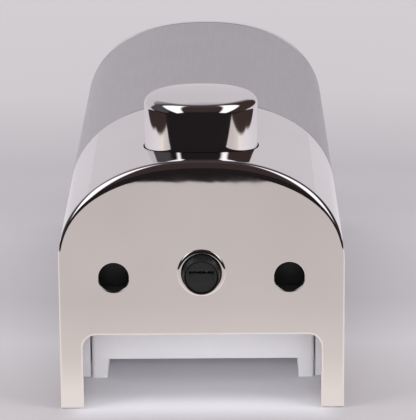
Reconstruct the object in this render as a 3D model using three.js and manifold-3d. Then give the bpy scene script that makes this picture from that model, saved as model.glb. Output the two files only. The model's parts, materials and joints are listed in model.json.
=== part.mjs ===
// Wall soap dispenser with a push button, lying on its back as it would come off a wall.
// Millimetres. X is the width, +Y runs from the nozzle end to the top end,
// +Z runs from the wall face to the front. Within the code Y starts at the nozzle end face.
import * as THREE from 'three';
import { mergeVertices } from 'three/addons/utils/BufferGeometryUtils.js';
import Module from 'manifold-3d';

const wasm = await Module();
wasm.setup();

// Clearances and shared values
const fit = 0.3;
const overrun = 5;
const quarterTurn = Math.PI / 2;
const fullTurn = Math.PI * 2;
const rightAngle = 90;
const sides = [[-1, 'left'], [1, 'right']];
const steps = {
  arch: 28,
  round: 4,
  corner: 4,
  large: 36,
  medium: 24,
  small: 14,
  hexagon: 6,
  curl: 8,
  wire: 5,
};

// Housing: arched shells in two lengths and an end cap
const housing = {
  width: 100,
  depth: 90,
  length: 250,
  shoulderHeight: 53,
  archPower: 2.27,
  wall: 2.5,
  endWall: 2.5,
  crownRadius: 4.2,
  edgeRadius: 0.9,
  wallReveal: 0.4,
  seamFromEnd: 92,
  seamGap: 0.5,
  lipThickness: 1.6,
  lipReach: 4,
  lipRoot: 9,
  topLength: 6.8,
  topGap: 0.3,
  topWall: 3.5,
  skirtThickness: 1.8,
  skirtReach: 10,
  ribCount: 2,
  ribThickness: 2,
  ribDepth: 3,
};
const notch = { legWidth: 8, height: 27.2, cornerRadius: 4.8 };
const keyHole = { radius: 5.3, fromSide: 19.3, belowNozzle: 1.6 };

// Push button and its guide
const button = {
  fromEnd: 33,
  radius: 20.2,
  proud: 16.5,
  domeRise: 1.5,
  wall: 2,
  topRound: 3,
  skirtDrop: 12,
  lipHeight: 2,
  lipReach: 1.5,
  socketRadius: 5.7,
  socketDepth: 8,
  travel: 12,
  slack: 0.4,
};
const guide = {
  wall: 2.3,
  shoulderSlack: 0.5,
  belowTravel: 8,
  relief: 0.5,
  gussetReach: 5,
  gussetThickness: 2,
  gussetCount: 4,
};

// Pump under the button
const pump = {
  boreRadius: 7,
  wall: 2.5,
  floorBelowPort: 7.5,
  headRoom: 6,
  portRadius: 2.5,
  flangeHalfWidth: 11,
  flangeHalfLength: 18,
  flangeThickness: 2.7,
  flangeCorner: 4,
  screwAside: 7,
  screwAlong: 13.5,
  bossRadius: 3.5,
  bossHeight: 5,
  bossRoof: 1,
  outletRadius: 4.4,
  outletGap: 4,
  inletRadius: 9,
  inletBore: 7,
  inletStart: 13,
  inletGap: 4,
};
const gland = { thickness: 3.7, wall: 1.7, skirtLength: 6, grooveCount: 12, grooveRadius: 0.8 };
const piston = {
  headRadius: 6.3,
  headHeight: 6,
  rodRadius: 3.4,
  grooveRadius: 4.9,
  grooveHeight: 2.4,
  grooveRise: 1.8,
  edge: 0.6,
};
const returnSpring = { meanRadius: 8.2, wire: 1.2, turns: 6.5 };

// Nozzle and its rubber valve
const nozzle = {
  height: 50,
  radius: 6.7,
  proud: 6,
  depth: 19,
  edge: 0.4,
  socketDepth: 15,
  throat: 3,
  throatLength: 3,
  mouthRadius: 5.8,
  holeSlack: 0.4,
};
const duckbill = {
  bore: 2.6,
  recess: 0.7,
  lipThickness: 2.2,
  slitWidth: 8.8,
  slitHeight: 1.1,
  slitRise: 1.6,
  bevelDepth: 1,
  bevelDrop: 3.4,
};

// Screws share one form
const screw = {
  radius: 1.5,
  headRadius: 3,
  headHeight: 2,
  headChamfer: 0.5,
  recessRadius: 1.3,
  recessDepth: 1.1,
};

// Chassis: a white bridge that carries pump and latches over the wall plate
const chassis = {
  start: 9,
  end: 61.5,
  belowNozzle: 13.5,
  shelfThickness: 3,
  legThickness: 3.5,
  ribHeight: 16,
  ribThickness: 2.5,
  screwHeight: 15,
  screwInset: 7,
  pumpWindow: 6,
  gusset: 8,
};

// Release latches behind the key holes
const latch = {
  face: 12,
  halfWidth: 6,
  length: 20,
  height: 18,
  footReach: 1.5,
  footHeight: 2,
  noseHalfWidth: 4,
  noseHeight: 3.8,
  noseReach: 8,
  pocketRadius: 3.6,
  pocketDepth: 10,
  springHeight: 8,
  springRoom: 9,
  travel: 5,
  topChamfer: 2,
};
const latchSpring = { meanRadius: 2.75, wire: 0.7, turns: 9 };
const rail = { thickness: 1.6, lip: 1.5, start: 15, end: 34 };
const keeper = { halfWidth: 7, reach: 6.1, below: 4.5, bar: 1.6, slotSlack: 0.6 };

// Wall plate: a shallow tray on two rails
const plate = {
  fromSide: 9.5,
  start: 35,
  recess: 7.2,
  panel: 2.5,
  wall: 2.5,
  railWidth: 5.6,
  height: 22,
  endHeight: 24,
  cornerRadius: 1.5,
  ribThickness: 2.5,
  seatRibCount: 3,
  screwRadius: 2.6,
  padRadius: 7,
  screwOffset: 22,
  firstScrew: 45,
  lastScrew: 30.8,
  slotLength: 5,
};

// Tank with a filler neck at the top and an outlet spigot at the bottom
const tank = {
  chassisGap: 2,
  endRoom: 22,
  sideGap: 1,
  base: 12,
  shoulderDrop: 5,
  crownRoom: 10,
  wall: 2,
  cornerRadius: 5,
  neckRadius: 21,
  neckBore: 18.5,
  neckLength: 8,
  neckHeight: 48,
  spigotRadius: 5.2,
  spigotBore: 3.2,
  spigotLength: 12,
  grooveCount: 3,
  grooveDepth: 1,
  grooveHalfWidth: 3,
};
const filler = {
  rimRadius: 22,
  thickness: 2.5,
  sealThickness: 1,
  sealInset: 0.4,
  plugWall: 2,
  plugDepth: 7,
  gripHalfWidth: 14,
  gripThickness: 3,
  gripRadius: 1.35,
  gripHeight: 3,
};
const feedSeal = { tube: 0.65, fromTank: 7 };
const inletValve = {
  seatThickness: 2,
  flap: 0.9,
  stem: 1.3,
  portCount: 4,
  portRadius: 1.1,
  portRing: 3.6,
  gap: 2.5,
};

// Hinge of the upper cover, low at the top end
const hinge = {
  inset: 8,
  boss: 4.8,
  pinRadius: 1.5,
  pinLength: 10.2,
  earThickness: 4.5,
  lugGap: 0.5,
  earRoot: 14,
};

// Positions that follow from the sizes above
const crown = housing.depth;
const seam = housing.seamFromEnd;
const topSeam = housing.length - housing.topLength;
const halfWidth = housing.width / 2;
const notchHalf = halfWidth - notch.legWidth;
const keyOffset = halfWidth - keyHole.fromSide;
const keyHeight = nozzle.height - keyHole.belowNozzle;
const shelfTop = nozzle.height - chassis.belowNozzle;
const shelfUnder = shelfTop - chassis.shelfThickness;
const buttonEdge = crown + button.proud;
const buttonCeiling = buttonEdge - button.wall;
const skirtBottom = crown - button.skirtDrop;
const chamberFloor = nozzle.height - pump.floorBelowPort;
const pistonFace = nozzle.height + pump.portRadius + button.travel;
const pumpTop = pistonFace + piston.headHeight + pump.headRoom;
const capTop = pumpTop + fit + gland.thickness;
const latchBack = latch.face + latch.length;
const latchRest = shelfTop + fit;
const springStop = latchBack + latch.travel + latch.springRoom;
const plateHalf = halfWidth - plate.fromSide;
const legInner = plateHalf + housing.seamGap;
const legOuter = legInner + chassis.legThickness;
const panelTop = plate.recess + plate.panel;
const tankStart = chassis.end + tank.chassisGap;
const tankEnd = housing.length - tank.endRoom;
const tankHalf = plateHalf - plate.wall - tank.sideGap;
const tankCrown = crown - tank.crownRoom;
const plateEnd = tankEnd + fit + plate.wall;
const neckTop = tankEnd + tank.neckLength;
const outletReach = button.fromEnd - nozzle.depth + nozzle.socketDepth - pump.outletGap;
const inletReach = tankStart - pump.inletGap - button.fromEnd;
const pivot = { y: housing.length - hinge.inset, z: hinge.inset };
const pinStart = plateHalf - hinge.earThickness;
const pinEnd = pinStart + hinge.pinLength;

// Closed meshes and solids
function signedVolume(position, index) {
  const [a, b, c] = [new THREE.Vector3(), new THREE.Vector3(), new THREE.Vector3()];
  let sum = 0;
  for (let i = 0; i < index.length; i += 3) {
    a.fromBufferAttribute(position, index[i]);
    b.fromBufferAttribute(position, index[i + 1]);
    c.fromBufferAttribute(position, index[i + 2]);
    sum += a.dot(b.cross(c));
  }
  return sum / 6;
}

function solidFrom(geometry) {
  const bare = geometry.clone();
  bare.deleteAttribute('normal');
  bare.deleteAttribute('uv');
  const merged = mergeVertices(bare);
  const position = merged.attributes.position;
  const corners = merged.index.array;
  const kept = [];
  for (let i = 0; i < corners.length; i += 3) {
    const [a, b, c] = [corners[i], corners[i + 1], corners[i + 2]];
    if (a !== b && b !== c && c !== a) kept.push(a, b, c);
  }
  if (signedVolume(position, kept) < 0) kept.reverse();
  const mesh = new wasm.Mesh({
    numProp: 3,
    vertProperties: new Float32Array(position.array),
    triVerts: new Uint32Array(kept),
  });
  return new wasm.Manifold(mesh);
}

function geometryFrom(solid) {
  const mesh = solid.getMesh();
  const geometry = new THREE.BufferGeometry();
  geometry.setAttribute('position', new THREE.BufferAttribute(new Float32Array(mesh.vertProperties), 3));
  geometry.setIndex(new THREE.BufferAttribute(new Uint32Array(mesh.triVerts), 1));
  geometry.computeVertexNormals();
  return geometry;
}

function joined(solids) {
  return solids.reduce((whole, next) => whole.add(next));
}

function cutBy(solid, cutters) {
  return cutters.reduce((left, next) => left.subtract(next), solid);
}

// Basic forms, each placed by its limits
const bases = {
  x: new THREE.Matrix4().makeBasis(
    new THREE.Vector3(0, 1, 0), new THREE.Vector3(0, 0, 1), new THREE.Vector3(1, 0, 0)),
  y: new THREE.Matrix4().makeBasis(
    new THREE.Vector3(1, 0, 0), new THREE.Vector3(0, 0, 1), new THREE.Vector3(0, -1, 0)),
  z: new THREE.Matrix4(),
};

function block(x0, x1, y0, y1, z0, z1) {
  const geometry = new THREE.BoxGeometry(x1 - x0, y1 - y0, z1 - z0);
  geometry.translate((x0 + x1) / 2, (y0 + y1) / 2, (z0 + z1) / 2);
  return solidFrom(geometry);
}

// An outline in the plane across the axis, carried from low to high along it
function extruded(shape, axis, low, high) {
  const settings = { depth: high - low, bevelEnabled: false, curveSegments: steps.corner };
  const geometry = new THREE.ExtrudeGeometry(shape, settings);
  geometry.applyMatrix4(bases[axis]);
  const shift = { x: [low, 0, 0], y: [0, high, 0], z: [0, 0, low] }[axis];
  geometry.translate(...shift);
  return solidFrom(geometry);
}

function roundedRectangle(u0, u1, v0, v1, radius) {
  const shape = new THREE.Shape();
  shape.absarc(u1 - radius, v0 + radius, radius, -quarterTurn, 0);
  shape.absarc(u1 - radius, v1 - radius, radius, 0, quarterTurn);
  shape.absarc(u0 + radius, v1 - radius, radius, quarterTurn, 2 * quarterTurn);
  shape.absarc(u0 + radius, v0 + radius, radius, 2 * quarterTurn, 3 * quarterTurn);
  return shape;
}

function rod(axis, radius, low, high, u, v, facets = steps.small) {
  const geometry = new THREE.CylinderGeometry(radius, radius, high - low, facets);
  const middle = (low + high) / 2;
  if (axis === 'x') geometry.rotateZ(quarterTurn).translate(middle, u, v);
  if (axis === 'y') geometry.translate(u, middle, v);
  if (axis === 'z') geometry.rotateX(quarterTurn).translate(u, v, middle);
  return solidFrom(geometry);
}

// A profile of [radius, level] points turned about Y, or about Z when stood up
function turned(profile, facets = steps.medium) {
  const points = profile.map(([radius, level]) => new THREE.Vector2(radius, level));
  return solidFrom(new THREE.LatheGeometry(points, facets));
}

function stoodUp(solid) {
  return solid.rotate([rightAngle, 0, 0]);
}

function ringProfile(inner, outer, low, high) {
  return [[inner, low], [outer, low], [outer, high], [inner, high], [inner, low]];
}

// Points of a quarter round between two directions, as [u, v] pairs
function quarterRound(u, v, radius, startAngle, count = steps.corner) {
  const points = [];
  for (let i = 0; i <= count; i += 1) {
    const angle = startAngle + (quarterTurn * i) / count;
    points.push([u + radius * Math.cos(angle), v + radius * Math.sin(angle)]);
  }
  return points;
}

// Rings of equal point count joined into one closed body with flat ends
function loft(rings) {
  const count = rings[0].length;
  const positions = rings.flatMap((ring) => ring.flatMap((p) => [p.x, p.y, p.z]));
  const index = [];
  for (let r = 0; r + 1 < rings.length; r += 1) {
    for (let i = 0; i < count; i += 1) {
      const j = (i + 1) % count;
      const [a, b] = [r * count + i, r * count + j];
      const [c, d] = [a + count, b + count];
      index.push(a, b, d, a, d, c);
    }
  }
  const flatEnd = (ring) => ring.map((p) => new THREE.Vector2(p.x, p.z));
  const last = (rings.length - 1) * count;
  for (const [a, b, c] of THREE.ShapeUtils.triangulateShape(flatEnd(rings[0]), [])) index.push(c, b, a);
  for (const [a, b, c] of THREE.ShapeUtils.triangulateShape(flatEnd(rings.at(-1)), [])) {
    index.push(last + a, last + b, last + c);
  }
  const geometry = new THREE.BufferGeometry();
  geometry.setAttribute('position', new THREE.Float32BufferAttribute(positions, 3));
  geometry.setIndex(index);
  return solidFrom(geometry);
}

// The arch: straight sides up to the shoulder, then half a superellipse.
// Each point carries its outward normal and its share of the crown's larger rounding.
function archOutline(shape) {
  const { halfWidth: a, shoulder, rise: b, power, base } = shape;
  const points = [{ x: a, z: base, nx: 1, nz: -1, crownShare: 0 }];
  for (let i = 0; i <= steps.arch; i += 1) {
    const angle = (Math.PI * i) / steps.arch;
    const [c, s] = [Math.cos(angle), Math.sin(angle)];
    const u = Math.sign(c) * Math.abs(c) ** (2 / power);
    const v = Math.abs(s) ** (2 / power);
    const normal = new THREE.Vector2(
      (Math.sign(c) * Math.abs(u) ** (power - 1)) / a, (v ** (power - 1)) / b).normalize();
    const crownShare = normal.y ** 2;
    points.push({ x: a * u, z: shoulder + b * v, nx: normal.x, nz: normal.y, crownShare });
  }
  points.push({ x: -a, z: base, nx: -1, nz: -1, crownShare: 0 });
  return points;
}

const housingArch = archOutline({
  halfWidth,
  shoulder: housing.shoulderHeight,
  rise: crown - housing.shoulderHeight,
  power: housing.archPower,
  base: housing.wallReveal,
});
const tankShoulder = housing.shoulderHeight - tank.shoulderDrop;
const tankArch = archOutline({
  halfWidth: tankHalf,
  shoulder: tankShoulder,
  rise: tankCrown - tankShoulder,
  power: housing.archPower,
  base: tank.base,
});

// One ring of an arch, drawn in by an inset, optionally with its base at another height
function archRing(outline, y, inset, base = null) {
  return outline.map((p) => {
    const drop = typeof inset === 'function' ? inset(p) : inset;
    const level = typeof y === 'function' ? y(p) : y;
    const isFoot = p.nz < 0;
    const z = isFoot && base !== null ? base : p.z - p.nz * drop;
    return new THREE.Vector3(p.x - p.nx * drop, level, z);
  });
}

function roundRadius(p, crownRadius, edgeRadius) {
  return edgeRadius + (crownRadius - edgeRadius) * p.crownShare;
}

// Rings that round an end over, from the flat face back to the full section.
// direction is +1 where the body runs towards +Y from the face, and -1 where it runs back.
function roundedEnd(outline, face, direction, inset, crownRadius, edgeRadius, base = null) {
  const rings = [];
  for (let i = 0; i <= steps.round; i += 1) {
    const angle = quarterTurn * (1 - i / steps.round);
    rings.push(archRing(
      outline,
      (p) => face + direction * roundRadius(p, crownRadius, edgeRadius) * (1 - Math.sin(angle)),
      (p) => inset + roundRadius(p, crownRadius, edgeRadius) * (1 - Math.cos(angle)),
      base,
    ));
  }
  return rings;
}

// A straight length of arch between two levels, as a solid core for shells and cavities
function archCore(low, high, inset, base = null) {
  return loft([archRing(housingArch, low, inset, base), archRing(housingArch, high, inset, base)]);
}

function archBand(low, high, outerInset, innerInset) {
  const core = archCore(low, high, outerInset, housing.wallReveal);
  return core.subtract(archCore(low - overrun, high + overrun, innerInset, -overrun));
}

// Lower cover: arch shell and end plate in one moulding
function notchShape(grow) {
  const { height, cornerRadius } = notch;
  const half = notchHalf;
  const radius = cornerRadius + grow;
  const shape = new THREE.Shape();
  shape.moveTo(-half - grow, -overrun);
  shape.lineTo(half + grow, -overrun);
  shape.absarc(half - cornerRadius, height - cornerRadius, radius, 0, quarterTurn);
  shape.absarc(-half + cornerRadius, height - cornerRadius, radius, quarterTurn, 2 * quarterTurn);
  return shape;
}

// The notch opens out by a small quarter round where it meets the outer face
function notchCutter() {
  const slices = [extruded(notchShape(0), 'y', -overrun, housing.endWall + overrun)];
  const radius = housing.edgeRadius;
  for (let i = 0; i < steps.corner; i += 1) {
    const level = (angle) => radius * (1 - Math.sin(angle));
    const from = (quarterTurn * (i + 1)) / steps.corner;
    const to = (quarterTurn * i) / steps.corner;
    const middle = (from + to) / 2;
    const start = i + 1 === steps.corner ? -overrun : level(from);
    slices.push(extruded(notchShape(radius * (1 - Math.cos(middle))), 'y', start, level(to)));
  }
  return joined(slices);
}

function keeperBlock(side) {
  const x = side * keyOffset;
  const low = shelfTop - keeper.below;
  const slotLow = latchRest - fit + keeper.slotSlack / 2;
  const slotHigh = latchRest + latch.noseHeight + keeper.slotSlack;
  const slotHalf = latch.noseHalfWidth + keeper.slotSlack;
  const from = housing.endWall;
  const body = block(
    x - keeper.halfWidth, x + keeper.halfWidth, from - fit, from + keeper.reach, low, slotHigh + keeper.bar);
  const slotEnd = from + keeper.reach + overrun;
  return body.subtract(block(x - slotHalf, x + slotHalf, from, slotEnd, slotLow, slotHigh));
}

function lowerCover() {
  const end = seam - housing.seamGap / 2;
  const innerRadius = housing.crownRadius - housing.wall;
  const outer = loft([
    ...roundedEnd(housingArch, 0, 1, 0, housing.crownRadius, housing.edgeRadius),
    archRing(housingArch, end, 0),
  ]);
  const cavity = loft([
    ...roundedEnd(housingArch, housing.endWall, 1, housing.wall, innerRadius, fit, -overrun),
    archRing(housingArch, end + overrun, housing.wall, -overrun),
  ]);
  const lipOuter = housing.wall + fit;
  const lipInner = lipOuter + housing.lipThickness;
  const rootEnd = end - housing.edgeRadius;
  const shell = joined([
    outer.subtract(cavity),
    archBand(seam - housing.lipRoot, seam + housing.lipReach, lipOuter, lipInner),
    archBand(seam - housing.lipRoot, rootEnd, housing.wall - fit, lipInner),
    ...[-1, 1].map(keeperBlock),
    ...sideRibs(),
  ]);
  return cutBy(shell, [
    notchCutter(),
    rod('z', button.radius + button.slack, skirtBottom, crown + overrun, 0, button.fromEnd, steps.large),
    rod('y', nozzle.radius + nozzle.holeSlack, -overrun, housing.endWall + overrun, 0, nozzle.height,
      steps.medium),
    ...[-1, 1].map((side) => rod('y', keyHole.radius, -overrun, housing.endWall + fit,
      side * keyOffset, keyHeight, steps.medium)),
  ]);
}

// Ribs on the side walls bear on the chassis legs
function sideRibs() {
  const bearing = halfWidth - housing.wall;
  const face = legOuter + fit;
  const ribs = [];
  for (const side of [-1, 1]) {
    for (const y of [plate.start + fit, (plate.start + chassis.end - housing.ribThickness) / 2]) {
      const [near, far] = [side * face, side * (bearing + fit)].sort((a, b) => a - b);
      ribs.push(block(near, far, y, y + housing.ribThickness, housing.wallReveal, shelfUnder));
    }
  }
  return ribs;
}

// Upper cover: the satin length of the arch, stiffened by two ribs
function upperCover() {
  const start = seam + housing.seamGap / 2;
  const end = topSeam - housing.topGap / 2;
  const ribInset = housing.wall + housing.ribDepth;
  const ribs = spread(housing.ribCount, start, end).map((y) =>
    archBand(y, y + housing.ribThickness, housing.wall - fit, ribInset));
  return joined([archBand(start, end, 0, housing.wall), ...ribs]);
}

// Top cap: polished end with a skirt inside the upper cover and two hinge lugs
function topCap() {
  const start = topSeam + housing.topGap / 2;
  const end = housing.length;
  const outer = loft([
    archRing(housingArch, start, 0),
    ...roundedEnd(housingArch, end, -1, 0, housing.crownRadius, housing.edgeRadius).reverse(),
  ]);
  const cavity = archCore(start - overrun, end - housing.endWall, housing.topWall, -overrun);
  const skirtOuter = housing.wall + fit;
  const skirt = archBand(
    topSeam - housing.skirtReach, start + housing.edgeRadius, skirtOuter, skirtOuter + housing.skirtThickness);
  const lugStart = plateHalf + hinge.lugGap;
  const lugEnd = halfWidth - housing.wall;
  const lugs = [-1, 1].map((side) => {
    const [low, high] = [side * lugStart, side * lugEnd].sort((a, b) => a - b);
    return rod('x', hinge.boss, low, high, pivot.y, pivot.z, steps.medium);
  });
  const pinHole = hinge.pinRadius + fit;
  const window = lugEnd - housing.topWall;
  const whole = joined([outer.subtract(cavity), skirt, ...lugs]);
  return cutBy(whole, [
    block(-window, window, pivot.y - overrun, end + overrun, -overrun, pivot.z),
    cornerCutter(),
    ...[-1, 1].map((side) => {
      const [low, high] = [side * (lugStart - overrun), side * (pinEnd + fit)].sort((a, b) => a - b);
      return rod('x', pinHole, low, high, pivot.y, pivot.z);
    }),
  ]);
}

// The lower rear corner is round about the hinge, so it clears the wall as the cover opens
function cornerCutter() {
  const square = block(
    -housing.width, housing.width, pivot.y, housing.length + overrun, -overrun, pivot.z);
  return square.subtract(
    rod('x', hinge.inset, -housing.width - overrun, housing.width + overrun, pivot.y, pivot.z, steps.large));
}

// Push button: a hollow cap with a domed top and rounded edge, a lip below and a rod socket inside
function pushButton() {
  const { radius, domeRise, topRound, wall, lipReach, lipHeight, socketRadius, socketDepth } = button;
  const innerRound = topRound - wall + fit;
  const dome = [];
  for (let i = 0; i < steps.corner; i += 1) {
    const share = i / steps.corner;
    dome.push([(radius - topRound) * share, buttonEdge + domeRise * (1 - share ** 2)]);
  }
  const profile = [
    ...dome,
    ...quarterRound(radius - topRound, buttonEdge - topRound, topRound, 0).reverse(),
    [radius, skirtBottom + lipHeight],
    [radius + lipReach, skirtBottom + lipHeight],
    [radius + lipReach, skirtBottom],
    [radius - wall, skirtBottom],
    ...quarterRound(radius - wall - innerRound, buttonCeiling - innerRound, innerRound, 0),
    [socketRadius, buttonCeiling],
    [socketRadius, buttonCeiling - socketDepth],
    [piston.rodRadius + fit, buttonCeiling - socketDepth],
    [piston.rodRadius + fit, buttonCeiling],
    [0, buttonCeiling],
  ];
  return stoodUp(turned(profile, steps.large));
}

// Guide sleeve under the cover, cut to the arch above it and relieved over the pump's inlet tube
function buttonGuide() {
  const lipRadius = button.radius + button.lipReach;
  const bore = lipRadius + guide.shoulderSlack;
  const neck = button.radius + guide.shoulderSlack;
  const outside = bore + guide.wall;
  const bottom = skirtBottom - button.travel - guide.belowTravel;
  const shoulder = skirtBottom + button.lipHeight + fit;
  const sleeve = stoodUp(turned([
    [bore, bottom],
    [outside, bottom],
    [outside, crown],
    [neck, crown],
    [neck, shoulder],
    [bore, shoulder],
    [bore, bottom],
  ], steps.large));
  const gussets = [];
  for (let i = 0; i < guide.gussetCount; i += 1) {
    const angle = rightAngle / 2 + (4 * rightAngle * i) / guide.gussetCount;
    const half = guide.gussetThickness / 2;
    const reach = outside + guide.gussetReach;
    gussets.push(block(bore + guide.wall / 2, reach, -half, half, shoulder, crown).rotate([0, 0, angle]));
  }
  const room = loft([
    ...roundedEnd(housingArch, housing.endWall + fit, 1, housing.wall + fit,
      housing.crownRadius - housing.wall, fit, -overrun),
    archRing(housingArch, seam - housing.lipRoot - fit, housing.wall + fit, -overrun),
  ]).translate([0, -button.fromEnd, 0]);
  const tubeRelief = rod('y', pump.inletRadius + guide.relief, -outside - overrun, outside + overrun, 0,
    nozzle.height, steps.medium);
  return joined([sleeve, ...gussets]).intersect(room).subtract(tubeRelief);
}

// Pump body: cylinder, foot, outlet towards the nozzle and inlet towards the tank
function pumpBody() {
  const outside = pump.boreRadius + pump.wall;
  const base = latchRest;
  const [halfAcross, halfAlong] = [pump.flangeHalfWidth, pump.flangeHalfLength];
  const foot = extruded(
    roundedRectangle(-halfAcross, halfAcross, -halfAlong, halfAlong, pump.flangeCorner),
    'z', base, base + pump.flangeThickness);
  const solid = joined([
    foot,
    rod('z', outside, base, pumpTop, 0, 0, steps.medium),
    rod('y', pump.outletRadius, -outletReach, 0, 0, nozzle.height),
    rod('y', pump.inletRadius, 0, inletReach, 0, nozzle.height, steps.medium),
    ...pumpScrewPlaces().map(([x, y]) => rod('z', pump.bossRadius, base, base + pump.bossHeight, x, y)),
  ]);
  const holes = pumpScrewPlaces().map(([x, y]) =>
    rod('z', screw.radius + fit, base - overrun, base + pump.bossHeight - pump.bossRoof, x, y));
  return cutBy(solid, [
    rod('z', pump.boreRadius, chamberFloor, pumpTop + overrun, 0, 0, steps.medium),
    rod('y', pump.portRadius, -outletReach - overrun, inletReach, 0, nozzle.height),
    rod('y', pump.inletBore, pump.inletStart, inletReach + overrun, 0, nozzle.height, steps.medium),
    ...holes,
  ]);
}

// The two screws stand at opposite corners of the foot and come up through the shelf
function pumpScrewPlaces() {
  return [-1, 1].map((side) => [side * pump.screwAside, side * pump.screwAlong]);
}

// Screwed cap that closes the cylinder round the rod, with finger grooves
function pumpGland() {
  const inner = pump.boreRadius + pump.wall + fit;
  const outer = inner + gland.wall;
  const under = pumpTop + fit;
  const cap = stoodUp(turned([
    [piston.rodRadius + fit, under],
    [inner, under],
    [inner, under - gland.skirtLength],
    [outer, under - gland.skirtLength],
    [outer, capTop],
    [piston.rodRadius + fit, capTop],
    [piston.rodRadius + fit, under],
  ], steps.medium));
  const grooves = [];
  for (let i = 0; i < gland.grooveCount; i += 1) {
    const angle = (fullTurn * i) / gland.grooveCount;
    grooves.push(rod('z', gland.grooveRadius, under - gland.skirtLength - overrun, under,
      (outer + fit) * Math.cos(angle), (outer + fit) * Math.sin(angle), steps.curl));
  }
  return cutBy(cap, grooves);
}

function pistonRod() {
  const { headRadius, headHeight, rodRadius, grooveRadius, grooveHeight, grooveRise, edge } = piston;
  const top = pistonFace + headHeight;
  const tip = buttonCeiling - fit;
  return stoodUp(turned([
    [0, pistonFace],
    [headRadius - edge, pistonFace],
    [headRadius, pistonFace + edge],
    [headRadius, pistonFace + grooveRise],
    [grooveRadius, pistonFace + grooveRise],
    [grooveRadius, pistonFace + grooveRise + grooveHeight],
    [headRadius, pistonFace + grooveRise + grooveHeight],
    [headRadius, top],
    [rodRadius, top],
    [rodRadius, tip - edge],
    [rodRadius - edge, tip],
    [0, tip],
  ], steps.small));
}

function pistonSeal() {
  const low = pistonFace + piston.grooveRise + fit;
  const high = low + piston.grooveHeight - 2 * fit;
  const inner = piston.grooveRadius + fit;
  const outer = pump.boreRadius - fit;
  const waist = outer - fit;
  return stoodUp(turned([
    [inner, low],
    [outer, low],
    [waist, (low + high) / 2],
    [outer, high],
    [inner, high],
    [inner, low],
  ], steps.medium));
}

// A round wire along points, with a ring of sides square to the wire at each point
function wireTube(points, outward, radius) {
  const positions = [];
  const index = [];
  const count = points.length;
  points.forEach((point, i) => {
    const ahead = points[Math.min(i + 1, count - 1)];
    const behind = points[Math.max(i - 1, 0)];
    const along = ahead.clone().sub(behind).normalize();
    const side = along.clone().cross(outward[i]).normalize();
    const out = side.clone().cross(along);
    for (let k = 0; k < steps.wire; k += 1) {
      const angle = (fullTurn * k) / steps.wire;
      const place = point.clone().addScaledVector(out, radius * Math.cos(angle));
      place.addScaledVector(side, radius * Math.sin(angle));
      positions.push(place.x, place.y, place.z);
    }
  });
  for (let i = 0; i + 1 < count; i += 1) {
    for (let k = 0; k < steps.wire; k += 1) {
      const [a, b] = [i * steps.wire + k, i * steps.wire + ((k + 1) % steps.wire)];
      index.push(a, b, b + steps.wire, a, b + steps.wire, a + steps.wire);
    }
  }
  const last = (count - 1) * steps.wire;
  for (let k = 1; k + 1 < steps.wire; k += 1) {
    index.push(0, k + 1, k);
    index.push(last, last + k, last + k + 1);
  }
  const geometry = new THREE.BufferGeometry();
  geometry.setAttribute('position', new THREE.Float32BufferAttribute(positions, 3));
  geometry.setIndex(index);
  return solidFrom(geometry);
}

// A compression spring about Z: one helix, straight for one wire diameter at each end
function coilSpring({ meanRadius, wire, turns }, low, high) {
  const lowest = low + wire / 2;
  const highest = high - wire / 2;
  const count = Math.round(turns * steps.curl);
  const points = [];
  const outward = [];
  for (let i = 0; i <= count; i += 1) {
    const angle = (fullTurn * i) / steps.curl;
    const radial = new THREE.Vector3(Math.cos(angle), Math.sin(angle), 0);
    const level = lowest + ((highest - lowest) * i) / count;
    points.push(radial.clone().multiplyScalar(meanRadius).setZ(level));
    outward.push(radial);
  }
  const [first, last] = [outward[0], outward.at(-1)];
  const runIn = new THREE.Vector3(first.y, -first.x, 0).multiplyScalar(wire);
  const runOut = new THREE.Vector3(-last.y, last.x, 0).multiplyScalar(wire);
  points.unshift(points[0].clone().add(runIn));
  points.push(points.at(-1).clone().add(runOut));
  outward.unshift(first);
  outward.push(last);
  return { points, outward, wire };
}

function springSolid(path) {
  return wireTube(path.points, path.outward, path.wire / 2);
}

// The least gap of a spring to itself, between points at least half a curl apart
function leastGap(path) {
  let least = Infinity;
  path.points.forEach((point, i) => {
    for (let j = i + steps.curl / 2; j < path.points.length; j += 1) {
      least = Math.min(least, point.distanceTo(path.points[j]) - path.wire);
    }
  });
  return least;
}

// Nozzle: a black tube on the pump outlet, turned about its own length
function nozzleTube() {
  const { radius, proud, depth, edge, socketDepth, throat, throatLength, mouthRadius } = nozzle;
  const socket = pump.outletRadius + fit;
  const shoulder = depth - socketDepth;
  return turned([
    ...quarterRound(radius - edge, -proud + edge, edge, -quarterTurn),
    [radius, depth],
    [socket, depth],
    [socket, shoulder],
    [throat, shoulder],
    [throat, shoulder - throatLength],
    [mouthRadius, shoulder - throatLength],
    [mouthRadius, -proud + edge],
    [mouthRadius + fit, -proud],
    [radius - edge, -proud],
  ], steps.medium);
}

// Duckbill valve: a rubber plug with a wide slit above its middle and a bevelled lower lip
function duckbillValve() {
  const { bore, recess, lipThickness, slitWidth, slitHeight, slitRise, bevelDepth, bevelDrop } = duckbill;
  const radius = nozzle.mouthRadius - fit;
  const face = -nozzle.proud + recess;
  const back = nozzle.depth - nozzle.socketDepth - nozzle.throatLength - fit;
  const plug = rod('y', radius, face, back, 0, 0, steps.medium);
  const bevel = new THREE.Shape([
    new THREE.Vector2(face - overrun, slitRise),
    new THREE.Vector2(face + bevelDepth, slitRise),
    new THREE.Vector2(face, slitRise - bevelDrop),
    new THREE.Vector2(face - overrun, slitRise - bevelDrop),
  ]);
  return cutBy(plug, [
    rod('y', bore, face + lipThickness, back + overrun, 0, 0),
    block(-slitWidth / 2, slitWidth / 2, face - overrun, face + lipThickness + fit,
      slitRise - slitHeight / 2, slitRise + slitHeight / 2),
    extruded(bevel, 'x', -slitWidth / 2, slitWidth / 2),
  ]);
}

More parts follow.
